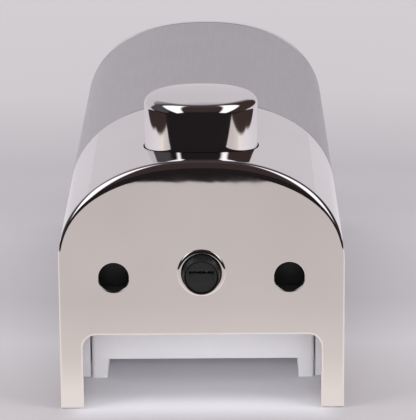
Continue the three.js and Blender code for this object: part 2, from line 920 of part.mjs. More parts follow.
// Screw along Z with its head's underside at zero and a hexagon recess
function screwSolid(length) {
  const body = stoodUp(turned([
    [0, -length],
    [screw.radius, -length],
    [screw.radius, 0],
    [screw.headRadius, 0],
    [screw.headRadius, screw.headHeight - screw.headChamfer],
    [screw.headRadius - screw.headChamfer, screw.headHeight],
    [0, screw.headHeight],
  ], steps.small));
  const recess = rod('z', screw.recessRadius, screw.headHeight - screw.recessDepth,
    screw.headHeight + overrun, 0, 0, steps.hexagon);
  return body.subtract(recess);
}

// Chassis: shelf, two legs astride the wall plate, latch rails and spring stops
function chassisSolid() {
  const { start, end, ribThickness, ribHeight } = chassis;
  const shelf = block(-legOuter, legOuter, start, end, shelfUnder, shelfTop);
  const legs = [-1, 1].map((side) => {
    const [low, high] = [side * legInner, side * legOuter].sort((a, b) => a - b);
    return block(low, high, plate.start, end, housing.wallReveal, shelfTop);
  });
  const gussets = [-1, 1].map((side) => {
    const corner = side * (legInner + fit);
    const web = new THREE.Shape([
      new THREE.Vector2(corner, shelfUnder + fit),
      new THREE.Vector2(corner, shelfUnder - chassis.gusset),
      new THREE.Vector2(corner - side * chassis.gusset, shelfUnder + fit),
    ]);
    return extruded(web, 'y', end - 2 * ribThickness, end - ribThickness);
  });
  const latchSeats = [-1, 1].flatMap((side) => latchSeat(side * keyOffset));
  const whole = joined([shelf, ...legs, ...gussets, ...latchSeats]);
  const holes = pumpScrewPlaces().map(([x, y]) =>
    rod('z', screw.radius + fit, shelfUnder - overrun, shelfTop + overrun, x, button.fromEnd + y));
  const sideHoles = chassisScrewPlaces().map(([y, z]) =>
    rod('x', screw.radius + fit, -legOuter - overrun, legOuter + overrun, y, z));
  const window = block(-chassis.pumpWindow, chassis.pumpWindow, start - overrun, start + chassis.pumpWindow,
    shelfUnder - overrun, shelfTop + ribHeight);
  return cutBy(whole, [...holes, ...sideHoles, window]);
}

function chassisScrewPlaces() {
  const { end, screwInset, screwHeight } = chassis;
  return [[plate.start + screwInset, screwHeight], [end - screwInset, screwHeight]];
}

// Two hooked rails over the latch foot, and a wall that its spring pushes against
function latchSeat(x) {
  const foot = latch.halfWidth + latch.footReach;
  const inside = foot + fit + fit / 2;
  const outside = inside + rail.thickness;
  const lipLow = latchRest + latch.footHeight + fit;
  const lipHigh = lipLow + rail.thickness;
  const pieces = [];
  for (const side of [-1, 1]) {
    const [a, b] = [x + side * inside, x + side * outside].sort((p, q) => p - q);
    pieces.push(block(a, b, rail.start, rail.end, shelfTop - fit, lipHigh));
    const [c, d] = [x + side * (inside - rail.lip), x + side * outside].sort((p, q) => p - q);
    pieces.push(block(c, d, rail.start, rail.end, lipLow, lipHigh));
  }
  const half = latch.halfWidth;
  pieces.push(block(x - half, x + half, springStop, springStop + chassis.ribThickness, shelfTop - fit,
    shelfTop + chassis.ribHeight));
  return pieces;
}

// Release latch: a slider with a nose in the cover's keeper and a spring pocket behind
function releaseLatch() {
  const { face, halfWidth: half, height, footReach, footHeight, noseHalfWidth, noseHeight, noseReach } = latch;
  const low = latchRest;
  const upright = new THREE.Shape([
    new THREE.Vector2(face, low),
    new THREE.Vector2(latchBack, low),
    new THREE.Vector2(latchBack, low + height - latch.topChamfer),
    new THREE.Vector2(latchBack - latch.topChamfer, low + height),
    new THREE.Vector2(face, low + height),
  ]);
  const foot = half + footReach;
  const whole = joined([
    extruded(upright, 'x', -half, half),
    block(-foot, foot, rail.start + fit, latchBack, low, low + footHeight),
    block(-noseHalfWidth, noseHalfWidth, face - noseReach, face + fit, low, low + noseHeight),
  ]);
  const springLevel = latchRest + latch.springHeight;
  return whole.subtract(rod('y', latch.pocketRadius, latchBack - latch.pocketDepth, latchBack + overrun, 0,
    springLevel));
}

// Wall plate: panel on two rails, low walls, seat ribs for the tank and hinge ears
function wallPlate() {
  const { start, recess, wall, railWidth, height, endHeight, cornerRadius } = plate;
  const half = plateHalf;
  const panelSolid = block(-half, half, start, plateEnd, recess, panelTop);
  const edges = [-1, 1].flatMap((side) => {
    const [railLow, railHigh] = [side * (half - railWidth), side * half].sort((a, b) => a - b);
    const [wallLow, wallHigh] = [side * (half - wall), side * half].sort((a, b) => a - b);
    return [
      block(railLow, railHigh, start, plateEnd, 0, panelTop),
      block(wallLow, wallHigh, start, plateEnd, recess, height),
    ];
  });
  const ends = [start, plateEnd - wall].map((y) => block(-half, half, y, y + wall, recess, endHeight));
  const whole = joined([panelSolid, ...edges, ...ends, ...seatRibs(), ...wallPads(), ...hingeEars()]);
  const corner = roundedRectangle(-half, half, start, plateEnd + hinge.earRoot + overrun, cornerRadius);
  const rounded = whole.intersect(extruded(corner, 'z', -overrun, endHeight + overrun));
  const sideHoles = chassisScrewPlaces().map(([y, z]) => rod('x', screw.radius + fit, -half - overrun,
    half + overrun, y, z));
  return cutBy(rounded, [...wallScrewHoles(), ...sideHoles]);
}

function spread(count, low, high) {
  return Array.from({ length: count }, (_, i) => low + ((high - low) * (i + 1)) / (count + 1));
}

function seatRibs() {
  const inner = plateHalf - plate.wall;
  return spread(plate.seatRibCount, tankStart, tankEnd).map((y) =>
    block(-inner, inner, y, y + plate.ribThickness, plate.recess, tank.base - fit));
}

function wallScrewPlaces() {
  const rows = [plate.start + plate.firstScrew, plateEnd - plate.lastScrew];
  return rows.flatMap((y) => [-1, 1].map((side) => [side * plate.screwOffset, y]));
}

function wallPads() {
  return wallScrewPlaces().map(([x, y]) => rod('z', plate.padRadius, 0, plate.recess + fit, x, y));
}

// Each screw hole runs on into a short slot, wide enough for the head only at its start
function wallScrewHoles() {
  return wallScrewPlaces().flatMap(([x, y]) => [
    rod('z', plate.screwRadius, -overrun, panelTop + overrun, x, y),
    block(x - plate.screwRadius, x + plate.screwRadius, y - plate.slotLength, y,
      -overrun, panelTop + overrun),
    rod('z', plate.screwRadius, -overrun, panelTop + overrun, x, y - plate.slotLength),
  ]);
}

function hingeEars() {
  const outer = plateHalf;
  const inner = outer - hinge.earThickness;
  return [-1, 1].map((side) => {
    const [low, high] = [side * inner, side * outer].sort((a, b) => a - b);
    const ear = joined([
      block(low, high, pivot.y - hinge.earRoot, pivot.y, pivot.z - hinge.boss, pivot.z + hinge.boss),
      rod('x', hinge.boss, low, high, pivot.y, pivot.z, steps.medium),
    ]);
    return ear.subtract(rod('x', hinge.pinRadius + fit, low - overrun, high + overrun, pivot.y, pivot.z));
  });
}

// Tank: blown shell with a filler neck, an outlet spigot and stiffening grooves across its front
function tankSolid() {
  const { wall, cornerRadius } = tank;
  const [start, end] = [tankStart, tankEnd];
  const body = (inset, radius, floor) => loft([
    ...roundedEnd(tankArch, start + inset, 1, inset, radius, radius, floor),
    ...roundedEnd(tankArch, end - inset, -1, inset, radius, radius, floor).reverse(),
  ]);
  const outer = joined([
    body(0, cornerRadius),
    rod('y', tank.neckRadius, end - overrun, neckTop, 0, tank.neckHeight, steps.large),
    rod('y', tank.spigotRadius, start - tank.spigotLength, start + wall, 0, nozzle.height),
  ]);
  const inner = joined([
    body(wall, cornerRadius - wall),
    rod('y', tank.neckBore, end - overrun, neckTop + overrun, 0, tank.neckHeight, steps.large),
    rod('y', tank.spigotBore, start - tank.spigotLength - overrun, start + overrun, 0, nozzle.height),
  ]);
  const grooves = spread(tank.grooveCount, start, end).map((y) => {
    const reach = tankHalf + overrun;
    const [low, high] = [y - tank.grooveHalfWidth, y + tank.grooveHalfWidth];
    const core = loft([low, high].map((level) => archRing(tankArch, level, tank.grooveDepth)));
    const sleeve = block(-reach, reach, low, high, tank.base + cornerRadius, tankCrown + overrun);
    return sleeve.subtract(core);
  });
  return cutBy(outer, [...grooves, inner]);
}

// Filler cap: disc with a plug skirt in the neck and a bar to turn it by
function fillerCap() {
  const under = neckTop + 2 * fit + filler.sealThickness;
  const top = under + filler.thickness;
  const plug = tank.neckBore - fit;
  const disc = turned([
    [0, under],
    [plug - filler.plugWall, under],
    [plug - filler.plugWall, under - filler.plugDepth],
    [plug, under - filler.plugDepth],
    [plug, under],
    [filler.rimRadius - fit, under],
    [filler.rimRadius, under + fit],
    [filler.rimRadius, top - fit],
    [filler.rimRadius - fit, top],
    [0, top],
  ], steps.large);
  const half = filler.gripThickness / 2;
  const bar = extruded(
    roundedRectangle(-filler.gripHalfWidth, filler.gripHalfWidth, -half, half, filler.gripRadius),
    'y', top - fit, top + filler.gripHeight);
  return disc.add(bar);
}

function fillerSeal() {
  const low = neckTop + fit;
  const profile = ringProfile(tank.neckBore + filler.sealInset, tank.neckRadius - filler.sealInset / 2,
    low, low + filler.sealThickness);
  return turned(profile, steps.large);
}

// O-ring between the tank spigot and the pump inlet
function feedSealRing() {
  const middle = (tank.spigotRadius + pump.inletBore) / 2;
  const ring = new THREE.TorusGeometry(middle, feedSeal.tube, steps.curl, steps.medium);
  ring.rotateX(quarterTurn);
  return solidFrom(ring);
}

// Inlet valve: a round plate with ports, and a rubber flap held on it by its stem
function valvePlate() {
  const { seatThickness, stem, portCount, portRadius, portRing } = inletValve;
  const disc = rod('y', pump.inletBore - fit, 0, seatThickness, 0, 0, steps.medium);
  const holes = Array.from({ length: portCount }, (_, i) => {
    const angle = (fullTurn * i) / portCount;
    return rod('y', portRadius, -overrun, seatThickness + overrun, portRing * Math.cos(angle),
      portRing * Math.sin(angle));
  });
  return cutBy(disc, [rod('y', stem + fit, -overrun, seatThickness + overrun, 0, 0), ...holes]);
}

function valveFlap() {
  const { seatThickness, flap, stem, portRing, portRadius } = inletValve;
  const skirt = portRing + 2 * portRadius;
  return turned([
    [0, -fit - flap],
    [skirt - flap, -fit - flap],
    [skirt, -fit],
    [stem, -fit],
    [stem, seatThickness + fit],
    [stem + 2 * fit, seatThickness + fit],
    [stem, seatThickness + fit + flap],
    [0, seatThickness + fit + flap],
  ], steps.small);
}

// Finishes
const chrome = () => finish(0xd8d4d6, 0.06, 1);
const satin = () => finish(0xa9a6aa, 0.34, 1);
const whitePlastic = () => finish(0xe6e4e8, 0.42, 0);
const naturalPlastic = () => finish(0xdedccf, 0.5, 0);
const blackPlastic = () => finish(0x1b1b1d, 0.45, 0);
const blackRubber = () => finish(0x161617, 0.75, 0);
const clearedPlastic = () => finish(0xd6dde0, 0.3, 0);
const steel = () => finish(0xb9babd, 0.3, 1);

function finish(color, roughness, metalness) {
  return new THREE.MeshStandardMaterial({ color, roughness, metalness });
}

function named(name, solid, material) {
  const mesh = new THREE.Mesh(geometryFrom(solid), material);
  mesh.name = name;
  return mesh;
}

function placed(object, x, y, z) {
  object.position.set(x, y, z);
  return object;
}

// Assembly
function housingGroup() {
  const group = new THREE.Group();
  group.add(named('lower_cover', lowerCover(), chrome()));
  group.add(named('upper_cover', upperCover(), satin()));
  group.add(named('top_cap', topCap(), chrome()));
  return group;
}

function buttonGroup() {
  const group = new THREE.Group();
  group.add(named('push_button', pushButton(), chrome()));
  group.add(named('button_guide', buttonGuide(), blackPlastic()));
  group.add(named('piston_rod', pistonRod(), naturalPlastic()));
  group.add(named('piston_seal', pistonSeal(), blackRubber()));
  const spring = coilSpring(returnSpring, capTop + fit, buttonCeiling - fit);
  console.log('return_spring least gap', leastGap(spring).toFixed(2), 'mm');
  group.add(named('return_spring', springSolid(spring), steel()));
  return placed(group, 0, button.fromEnd, 0);
}

function pumpGroup() {
  const group = new THREE.Group();
  group.add(named('pump_body', pumpBody(), whitePlastic()));
  group.add(named('pump_cap', pumpGland(), naturalPlastic()));
  const tip = latchRest + pump.bossHeight - pump.bossRoof - fit;
  const seat = shelfUnder - fit;
  pumpScrewPlaces().forEach(([x, y], i) => {
    const fastener = named(`pump_screw_${sides[i][1]}`, screwSolid(tip - seat), steel());
    fastener.rotation.x = 2 * quarterTurn;
    group.add(placed(fastener, x, y, seat));
  });
  const plateStart = pump.inletStart + inletValve.gap;
  group.add(placed(named('inlet_valve_plate', valvePlate(), whitePlastic()), 0, plateStart, nozzle.height));
  group.add(placed(named('inlet_flap', valveFlap(), blackRubber()), 0, plateStart, nozzle.height));
  const ringPlace = tankStart - feedSeal.fromTank - button.fromEnd;
  group.add(placed(named('feed_seal', feedSealRing(), blackRubber()), 0, ringPlace, nozzle.height));
  return placed(group, 0, button.fromEnd, 0);
}

function nozzleGroup() {
  const group = new THREE.Group();
  group.add(named('nozzle', nozzleTube(), blackPlastic()));
  group.add(named('duckbill_valve', duckbillValve(), blackRubber()));
  return placed(group, 0, 0, nozzle.height);
}

function latchGroup(side, word) {
  const group = new THREE.Group();
  group.add(named(`release_latch_${word}`, releaseLatch(), blackPlastic()));
  const from = latchBack - latch.pocketDepth + fit;
  const spring = coilSpring(latchSpring, 0, springStop - fit - from);
  console.log(`latch_spring_${word} least gap`, leastGap(spring).toFixed(2), 'mm');
  const wire = named(`latch_spring_${word}`, springSolid(spring), steel());
  wire.rotation.x = -quarterTurn;
  group.add(placed(wire, 0, from, latchRest + latch.springHeight));
  return placed(group, side * keyOffset, 0, 0);
}

function chassisScrews() {
  const outer = legOuter + fit;
  const length = chassis.legThickness + housing.seamGap + plate.wall + fit;
  return sides.flatMap(([side, word]) => chassisScrewPlaces().map(([y, z], i) => {
    const fastener = named(`chassis_screw_${word}_${i + 1}`, screwSolid(length), steel());
    fastener.rotation.y = side * quarterTurn;
    return placed(fastener, side * outer, y, z);
  }));
}

function frameGroup() {
  const group = new THREE.Group();
  group.add(named('wall_plate', wallPlate(), whitePlastic()));
  group.add(named('chassis', chassisSolid(), whitePlastic()));
  group.add(...chassisScrews());
  for (const [side, word] of sides) {
    const [low, high] = [side * pinStart, side * pinEnd].sort((a, b) => a - b);
    group.add(named(`hinge_pin_${word}`, rod('x', hinge.pinRadius, low, high, pivot.y, pivot.z), steel()));
  }
  return group;
}

function tankGroup() {
  const group = new THREE.Group();
  group.add(named('tank', tankSolid(), clearedPlastic()));
  group.add(placed(named('filler_cap', fillerCap(), whitePlastic()), 0, 0, tank.neckHeight));
  group.add(placed(named('filler_seal', fillerSeal(), blackRubber()), 0, 0, tank.neckHeight));
  return group;
}

const dispenser = new THREE.Group();
dispenser.name = 'soap_dispenser';
dispenser.add(
  housingGroup(),
  buttonGroup(),
  pumpGroup(),
  nozzleGroup(),
  ...sides.map(([side, word]) => latchGroup(side, word)),
  frameGroup(),
  tankGroup(),
);

// The origin is under the middle of the whole length, from the nozzle tip to the top end
dispenser.position.y = -(housing.length - nozzle.proud) / 2;

export default dispenser;
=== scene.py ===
"""Looks of the arched wall soap dispenser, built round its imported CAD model.

Every length below is in metres, in the frame of the model: +X across the width,
+Y from the nozzle end to the top end, +Z from the wall to the front.
"""

import json
import math

import bmesh
import bpy
import numpy as np
from mathutils import Matrix, Vector

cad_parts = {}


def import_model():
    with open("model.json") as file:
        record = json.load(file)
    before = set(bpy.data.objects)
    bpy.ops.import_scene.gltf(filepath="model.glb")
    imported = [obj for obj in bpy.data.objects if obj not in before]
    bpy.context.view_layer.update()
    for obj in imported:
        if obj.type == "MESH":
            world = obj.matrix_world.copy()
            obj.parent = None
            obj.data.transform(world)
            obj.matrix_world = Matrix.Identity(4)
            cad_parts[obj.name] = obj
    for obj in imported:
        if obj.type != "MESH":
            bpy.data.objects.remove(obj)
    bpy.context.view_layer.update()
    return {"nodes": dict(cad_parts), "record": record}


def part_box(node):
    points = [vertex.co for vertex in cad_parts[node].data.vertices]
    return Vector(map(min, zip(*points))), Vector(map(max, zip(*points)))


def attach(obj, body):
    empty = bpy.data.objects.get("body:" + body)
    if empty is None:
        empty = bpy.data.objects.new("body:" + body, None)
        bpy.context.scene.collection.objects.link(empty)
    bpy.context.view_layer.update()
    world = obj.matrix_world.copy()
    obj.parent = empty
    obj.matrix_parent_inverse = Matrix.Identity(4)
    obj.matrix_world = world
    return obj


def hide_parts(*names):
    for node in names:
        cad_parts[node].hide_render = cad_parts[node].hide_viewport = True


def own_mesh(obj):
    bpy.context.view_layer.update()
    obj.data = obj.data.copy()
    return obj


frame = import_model()

MM = 0.001
QUARTER = math.pi / 2
RIGHT_ANGLE = 90

# Sizes that the frame gives
cover_low, cover_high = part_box("lower_cover")
upper_low, upper_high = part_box("upper_cover")
cap_low, cap_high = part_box("top_cap")
button_low, button_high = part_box("push_button")
nozzle_low, nozzle_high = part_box("nozzle")
HALF_WIDTH = cover_high.x
CROWN = cover_high.z
FOOT = cover_low.z
END_FACE = cover_low.y
BUTTON_Y = (button_low.y + button_high.y) / 2
NOZZLE_Z = (nozzle_low.z + nozzle_high.z) / 2

# Sizes of the housing that the frame's boxes don't give
SHOULDER = 53 * MM
ARCH_POWER = 2.27
WALL = 2.5 * MM
CROWN_RADIUS = 4.2 * MM
EDGE_RADIUS = 0.9 * MM
SEAM_EDGE = 0.25 * MM
SEAM_GAP = 0.5 * MM
RIM_EDGE = 0.3 * MM
OVERRUN = 5 * MM
FIT = 0.3 * MM

# Steps along curves
ARCH_STEPS = 128
ROUND_STEPS = 14
CAVITY_STEPS = 6
EDGE_STEPS = 8
RIM_STEPS = 3
SEAM_STEPS = 4
TURN_STEPS = 96
PIN_STEPS = 48
BUTTON_STEPS = 180
BUTTON_HOLE_STEPS = 144

# Tolerances of the mesh work
WELD = 1e-7
COPY_WELD = 1e-6
ON_AXIS = 1e-9


# Meshes from rings and profiles

def linked(name, mesh):
    """An object of its own for a mesh."""
    obj = bpy.data.objects.new(name, mesh)
    bpy.context.scene.collection.objects.link(obj)
    return obj


def mesh_object(name, verts, faces):
    mesh = bpy.data.meshes.new(name)
    mesh.from_pydata([tuple(v) for v in verts], [], faces)
    mesh.validate()
    return linked(name, mesh)


def outward(obj):
    """Welds a mesh and turns its faces outwards."""
    bm = bmesh.new()
    bm.from_mesh(obj.data)
    bmesh.ops.remove_doubles(bm, verts=bm.verts, dist=WELD)
    bmesh.ops.recalc_face_normals(bm, faces=bm.faces)
    bm.to_mesh(obj.data)
    bm.free()
    return obj


def loft(name, rings):
    """Rings of equal point count, joined in a row with a flat face at each end."""
    count = len(rings[0])
    verts = [point for ring in rings for point in ring]
    faces = []
    for row in range(len(rings) - 1):
        first, second = row * count, (row + 1) * count
        for i in range(count):
            j = (i + 1) % count
            faces.append((first + i, first + j, second + j, second + i))
    faces.append(tuple(range(count))[::-1])
    faces.append(tuple((len(rings) - 1) * count + i for i in range(count)))
    return outward(mesh_object(name, verts, faces))


def lathe(name, profile, steps=TURN_STEPS, axis="z", place=(0, 0, 0)):
    """A profile of (radius, level) points turned about an axis through place. It meets the axis or closes."""
    verts, faces, rows = [], [], []
    for radius, level in profile:
        row = []
        turns = 1 if radius < ON_AXIS else steps
        for k in range(turns):
            angle = 2 * math.pi * k / steps
            u, v = radius * math.cos(angle), radius * math.sin(angle)
            point = {"z": (u, v, level), "y": (u, level, v), "x": (level, u, v)}[axis]
            row.append(len(verts))
            verts.append([p + q for p, q in zip(point, place)])
        rows.append(row)
    pairs = list(zip(rows, rows[1:]))
    if profile[0][0] >= ON_AXIS and profile[-1][0] >= ON_AXIS:
        pairs.append((rows[-1], rows[0]))
    for a, b in pairs:
        for k in range(steps):
            n = (k + 1) % steps
            if len(a) == 1:
                faces.append((a[0], b[n], b[k]))
            elif len(b) == 1:
                faces.append((a[k], a[n], b[0]))
            else:
                faces.append((a[k], a[n], b[n], b[k]))
    return outward(mesh_object(name, verts, faces))


def rod(name, radius, low, high, steps=TURN_STEPS, axis="z", place=(0, 0, 0)):
    """A round bar between two levels of its axis, to cut with."""
    return lathe(name, [(0, low), (radius, low), (radius, high), (0, high)], steps, axis, place)


def fillet(center, radius, start, end, steps=EDGE_STEPS):
    """Points of an arc from one angle to another, in degrees."""
    angles = np.radians(np.linspace(start, end, steps + 1))
    return [(center[0] + radius * math.cos(t), center[1] + radius * math.sin(t)) for t in angles]


def quarter_round(radius, steps):
    """A rounded edge as pairs: how far behind the face, and how far in from the side."""
    angles = np.linspace(QUARTER, 0, steps + 1)
    return [(radius * (1 - math.sin(t)), radius * (1 - math.cos(t))) for t in angles]


def box_object(name, low, high):
    """A block between two corners, to cut or to be cut."""
    verts = [(x, y, z) for x in (low[0], high[0]) for y in (low[1], high[1]) for z in (low[2], high[2])]
    faces = [(0, 1, 3, 2), (4, 6, 7, 5), (0, 4, 5, 1), (2, 3, 7, 6), (0, 2, 6, 4), (1, 5, 7, 3)]
    return outward(mesh_object(name, verts, faces))


def settled(obj):
    """Applies an object's modifiers."""
    graph = bpy.context.evaluated_depsgraph_get()
    mesh = bpy.data.meshes.new_from_object(obj.evaluated_get(graph))
    obj.modifiers.clear()
    old = obj.data
    obj.data = mesh
    bpy.data.meshes.remove(old)
    mesh.name = obj.name
    return obj


def cut(obj, cutters):
    """Takes the cutters out of a body and removes them."""
    for cutter in cutters:
        modifier = obj.modifiers.new("cut", "BOOLEAN")
        modifier.operation = "DIFFERENCE"
        modifier.solver = "EXACT"
        modifier.object = cutter
    settled(obj)
    for cutter in cutters:
        bpy.data.objects.remove(cutter)
    return obj


def joined(name, objects):
    """Several bodies as one object."""
    bm = bmesh.new()
    for obj in objects:
        bm.from_mesh(obj.data)
        bpy.data.objects.remove(obj)
    mesh = bpy.data.meshes.new(name)
    bm.to_mesh(mesh)
    bm.free()
    return linked(name, mesh)


# Edges over these angles, in degrees, stay sharp
SHARP_ANGLE = 35
COIL_SHARP_ANGLE = 60
FACE_WEIGHT = 50


def smooth(obj, angle=SHARP_ANGLE):
    """Smooth shading with sharp edges kept, led by the large faces."""
    mesh = obj.data
    mesh.shade_smooth()
    mesh.set_sharp_from_angle(angle=math.radians(angle))
    modifier = obj.modifiers.new("normals", "WEIGHTED_NORMAL")
    modifier.mode = "FACE_AREA"
    modifier.weight = FACE_WEIGHT
    modifier.keep_sharp = True
    return settled(obj)


# The arch of the housing: straight sides up to the shoulder, then half a superellipse

def arch_points(half_width, shoulder, rise, power, foot):
    """Rows of x, z, normal x, normal z and a share that grows from 0 at the sides to 1 on the crown."""
    rows = [(half_width, foot, 1, -1, 0)]
    for i in range(ARCH_STEPS + 1):
        angle = math.pi * i / ARCH_STEPS
        c, s = math.cos(angle), math.sin(angle)
        u = math.copysign(abs(c) ** (2 / power), c)
        v = abs(s) ** (2 / power)
        normal = Vector((math.copysign(abs(u) ** (power - 1), c) / half_width, v ** (power - 1) / rise))
        normal.normalize()
        rows.append((half_width * u, shoulder + rise * v, normal.x, normal.y, normal.y ** 2))
    rows.append((-half_width, foot, -1, -1, 0))
    return np.array(rows)


HOUSING_ARCH = arch_points(HALF_WIDTH, SHOULDER, CROWN - SHOULDER, ARCH_POWER, FOOT)


def arch_ring(y, inset, foot=None):
    """The arch at a level, drawn in. The level and the inset are numbers or one number for each point."""
    arch = HOUSING_ARCH
    ring = np.empty((len(arch), 3))
    ring[:, 0] = arch[:, 0] - arch[:, 2] * inset
    ring[:, 1] = y
    ring[:, 2] = arch[:, 1] - arch[:, 3] * inset
    if foot is not None:
        ring[[0, -1], 2] = foot
    return ring


def rounded_end(face, direction, inset, crown_radius, edge_radius, foot=None, steps=ROUND_STEPS):
    """Rings that round an end over, from the flat face back to the full section."""
    radius = edge_radius + (crown_radius - edge_radius) * HOUSING_ARCH[:, 4]
    rings = []
    for behind, drawn in quarter_round(1, steps):
        rings.append(arch_ring(face + direction * radius * behind, inset + radius * drawn, foot))
    return rings


def arch_band(name, low, high, outer, inner, edge):
    """A length of arched shell with softened ends, closed along its feet."""
    levels = [(low + behind, drawn) for behind, drawn in quarter_round(edge, RIM_STEPS)]
    levels += [(low + high - y, drawn) for y, drawn in levels[::-1]]
    rings = []
    for y, drawn in levels:
        outside = arch_ring(y, outer + drawn, FOOT)
        inside = arch_ring(y, inner - drawn, FOOT)[::-1]
        rings.append(np.concatenate([outside, inside]))
    return loft(name, rings)


# Lower cover: arch shell and end plate in one moulding

LEG_WIDTH = 8 * MM
NOTCH_HALF = HALF_WIDTH - LEG_WIDTH
NOTCH_HEIGHT = 27.2 * MM
NOTCH_RADIUS = 4.8 * MM
NOTCH_STEPS = 12
KEY_FROM_SIDE = 19.3 * MM
KEY_BELOW_NOZZLE = 1.6 * MM
KEY_OFFSET = HALF_WIDTH - KEY_FROM_SIDE
KEY_HEIGHT = NOZZLE_Z - KEY_BELOW_NOZZLE
KEY_RADIUS = 5.3 * MM
HOLE_EDGE = 0.35 * MM
HOLE_EDGE_STEPS = 6
NOZZLE_RADIUS = (nozzle_high.x - nozzle_low.x) / 2
NOZZLE_SLACK = 0.4 * MM
NOZZLE_HOLE = NOZZLE_RADIUS + NOZZLE_SLACK
NOZZLE_LIP_WIDTH = 1.3 * MM
NOZZLE_LIP_RISE = 0.55 * MM
NOZZLE_LIP_EDGE = 0.1 * MM
NOZZLE_LIP_ROOT = 1 * MM
BUTTON_LIP_REACH = 1.5 * MM
BUTTON_RADIUS = button_high.x - BUTTON_LIP_REACH
BUTTON_SLACK = 0.4 * MM
BUTTON_HOLE = BUTTON_RADIUS + BUTTON_SLACK
BUTTON_CUT_DEPTH = 20 * MM
END_STRAIGHT = 8 * MM
LIP_THICKNESS = 1.6 * MM
LIP_ROOT = 8.8 * MM
LIP_EDGE = 0.3 * MM
ROOT_SETBACK = 0.9 * MM
ROOT_EDGE = 0.1 * MM
SHELF_BELOW_NOZZLE = 13.5 * MM
SHELF_TOP = NOZZLE_Z - SHELF_BELOW_NOZZLE
KEEPER_HALF_WIDTH = 7 * MM
KEEPER_LENGTH = 6.1 * MM
KEEPER_BELOW_SHELF = 4.5 * MM
KEEPER_ABOVE_REST = 6 * MM
SLOT_HALF_WIDTH = 4.6 * MM
SLOT_HEIGHT = 4.4 * MM


def notch_cutter():
    """The notch opens out by a small quarter round where it meets the outer face."""
    def ring(y, grow):
        radius = NOTCH_RADIUS + grow
        side = NOTCH_HALF - NOTCH_RADIUS
        top = NOTCH_HEIGHT - NOTCH_RADIUS
        points = [(-NOTCH_HALF - grow, FOOT - OVERRUN)]
        points += fillet((-side, top), radius, 2 * RIGHT_ANGLE, RIGHT_ANGLE, NOTCH_STEPS)
        points += fillet((side, top), radius, RIGHT_ANGLE, 0, NOTCH_STEPS)
        points.append((NOTCH_HALF + grow, FOOT - OVERRUN))
        return [(x, y, z) for x, z in points]

    rings = [ring(END_FACE - OVERRUN, EDGE_RADIUS)]
    rings += [ring(END_FACE + behind, drawn) for behind, drawn in quarter_round(EDGE_RADIUS, EDGE_STEPS)]
    rings.append(ring(END_FACE + WALL + OVERRUN, 0))
    return loft("notch_cutter", rings)


def hole_cutter(x, z, radius):
    """A round hole through the end plate with a softened mouth."""
    front, back = END_FACE - OVERRUN, END_FACE + WALL + OVERRUN
    profile = [(0, front), (radius + HOLE_EDGE, front)]
    for behind, drawn in quarter_round(HOLE_EDGE, HOLE_EDGE_STEPS):
        profile.append((radius + drawn, END_FACE + behind))
    profile += [(radius, back), (0, back)]
    return lathe("hole_cutter", profile, axis="y", place=(x, 0, z))


def nozzle_lip():
    """A low raised lip round the nozzle's hole, falling away outwards."""
    back = END_FACE + NOZZLE_LIP_ROOT
    crest = NOZZLE_HOLE + NOZZLE_LIP_EDGE
    profile = [
        (NOZZLE_HOLE, back),
        (NOZZLE_HOLE, END_FACE - NOZZLE_LIP_RISE + NOZZLE_LIP_EDGE),
        (crest, END_FACE - NOZZLE_LIP_RISE),
    ]
    for angle in np.linspace(QUARTER, 0, EDGE_STEPS + 1)[1:]:
        level = END_FACE - NOZZLE_LIP_RISE * math.sin(angle)
        profile.append((crest + NOZZLE_LIP_WIDTH * math.cos(angle), level))
    profile.append((crest + NOZZLE_LIP_WIDTH, back))
    return lathe("nozzle_lip", profile, axis="y", place=(0, 0, NOZZLE_Z))


def keeper(side):
    """The socket behind a key hole that the latch's nose slides into."""
    x = side * KEY_OFFSET
    inner = END_FACE + WALL
    outer = inner + KEEPER_LENGTH
    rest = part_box("release_latch_left")[0].z
    block = box_object(
        "keeper",
        (x - KEEPER_HALF_WIDTH, inner - FIT, SHELF_TOP - KEEPER_BELOW_SHELF),
        (x + KEEPER_HALF_WIDTH, outer, rest + KEEPER_ABOVE_REST))
    slot = box_object(
        "slot",
        (x - SLOT_HALF_WIDTH, inner, rest),
        (x + SLOT_HALF_WIDTH, outer + OVERRUN, rest + SLOT_HEIGHT))
    return cut(block, [slot])


def lower_cover():
    end = upper_low.y - SEAM_GAP
    rings = rounded_end(END_FACE, 1, 0, CROWN_RADIUS, EDGE_RADIUS)
    rings.append(arch_ring(END_FACE + END_STRAIGHT, 0))
    rings += [arch_ring(end - behind, drawn) for behind, drawn in quarter_round(SEAM_EDGE, SEAM_STEPS)[::-1]]
    shell = loft("lower_cover_shell", rings)
    hollow = rounded_end(
        END_FACE + WALL, 1, WALL, CROWN_RADIUS - WALL, FIT, FOOT - OVERRUN, CAVITY_STEPS)
    hollow.append(arch_ring(end + OVERRUN, WALL, FOOT - OVERRUN))
    cut(shell, [
        loft("cavity", hollow),
        notch_cutter(),
        rod("button_cut", BUTTON_HOLE, CROWN - BUTTON_CUT_DEPTH, CROWN + OVERRUN, BUTTON_HOLE_STEPS,
            place=(0, BUTTON_Y, 0)),
        hole_cutter(0, NOZZLE_Z, NOZZLE_HOLE),
        hole_cutter(-KEY_OFFSET, KEY_HEIGHT, KEY_RADIUS),
        hole_cutter(KEY_OFFSET, KEY_HEIGHT, KEY_RADIUS),
    ])
    lip_outer = WALL + FIT
    lip_inner = lip_outer + LIP_THICKNESS
    root_start = end - LIP_ROOT
    lip = arch_band("lip", root_start, cover_high.y, lip_outer, lip_inner, LIP_EDGE)
    root = arch_band("root", root_start, end - ROOT_SETBACK, WALL - FIT, lip_inner, ROOT_EDGE)
    return joined("lower_cover_shell", [shell, lip, root, keeper(-1), keeper(1), nozzle_lip()])


# Upper cover and top cap

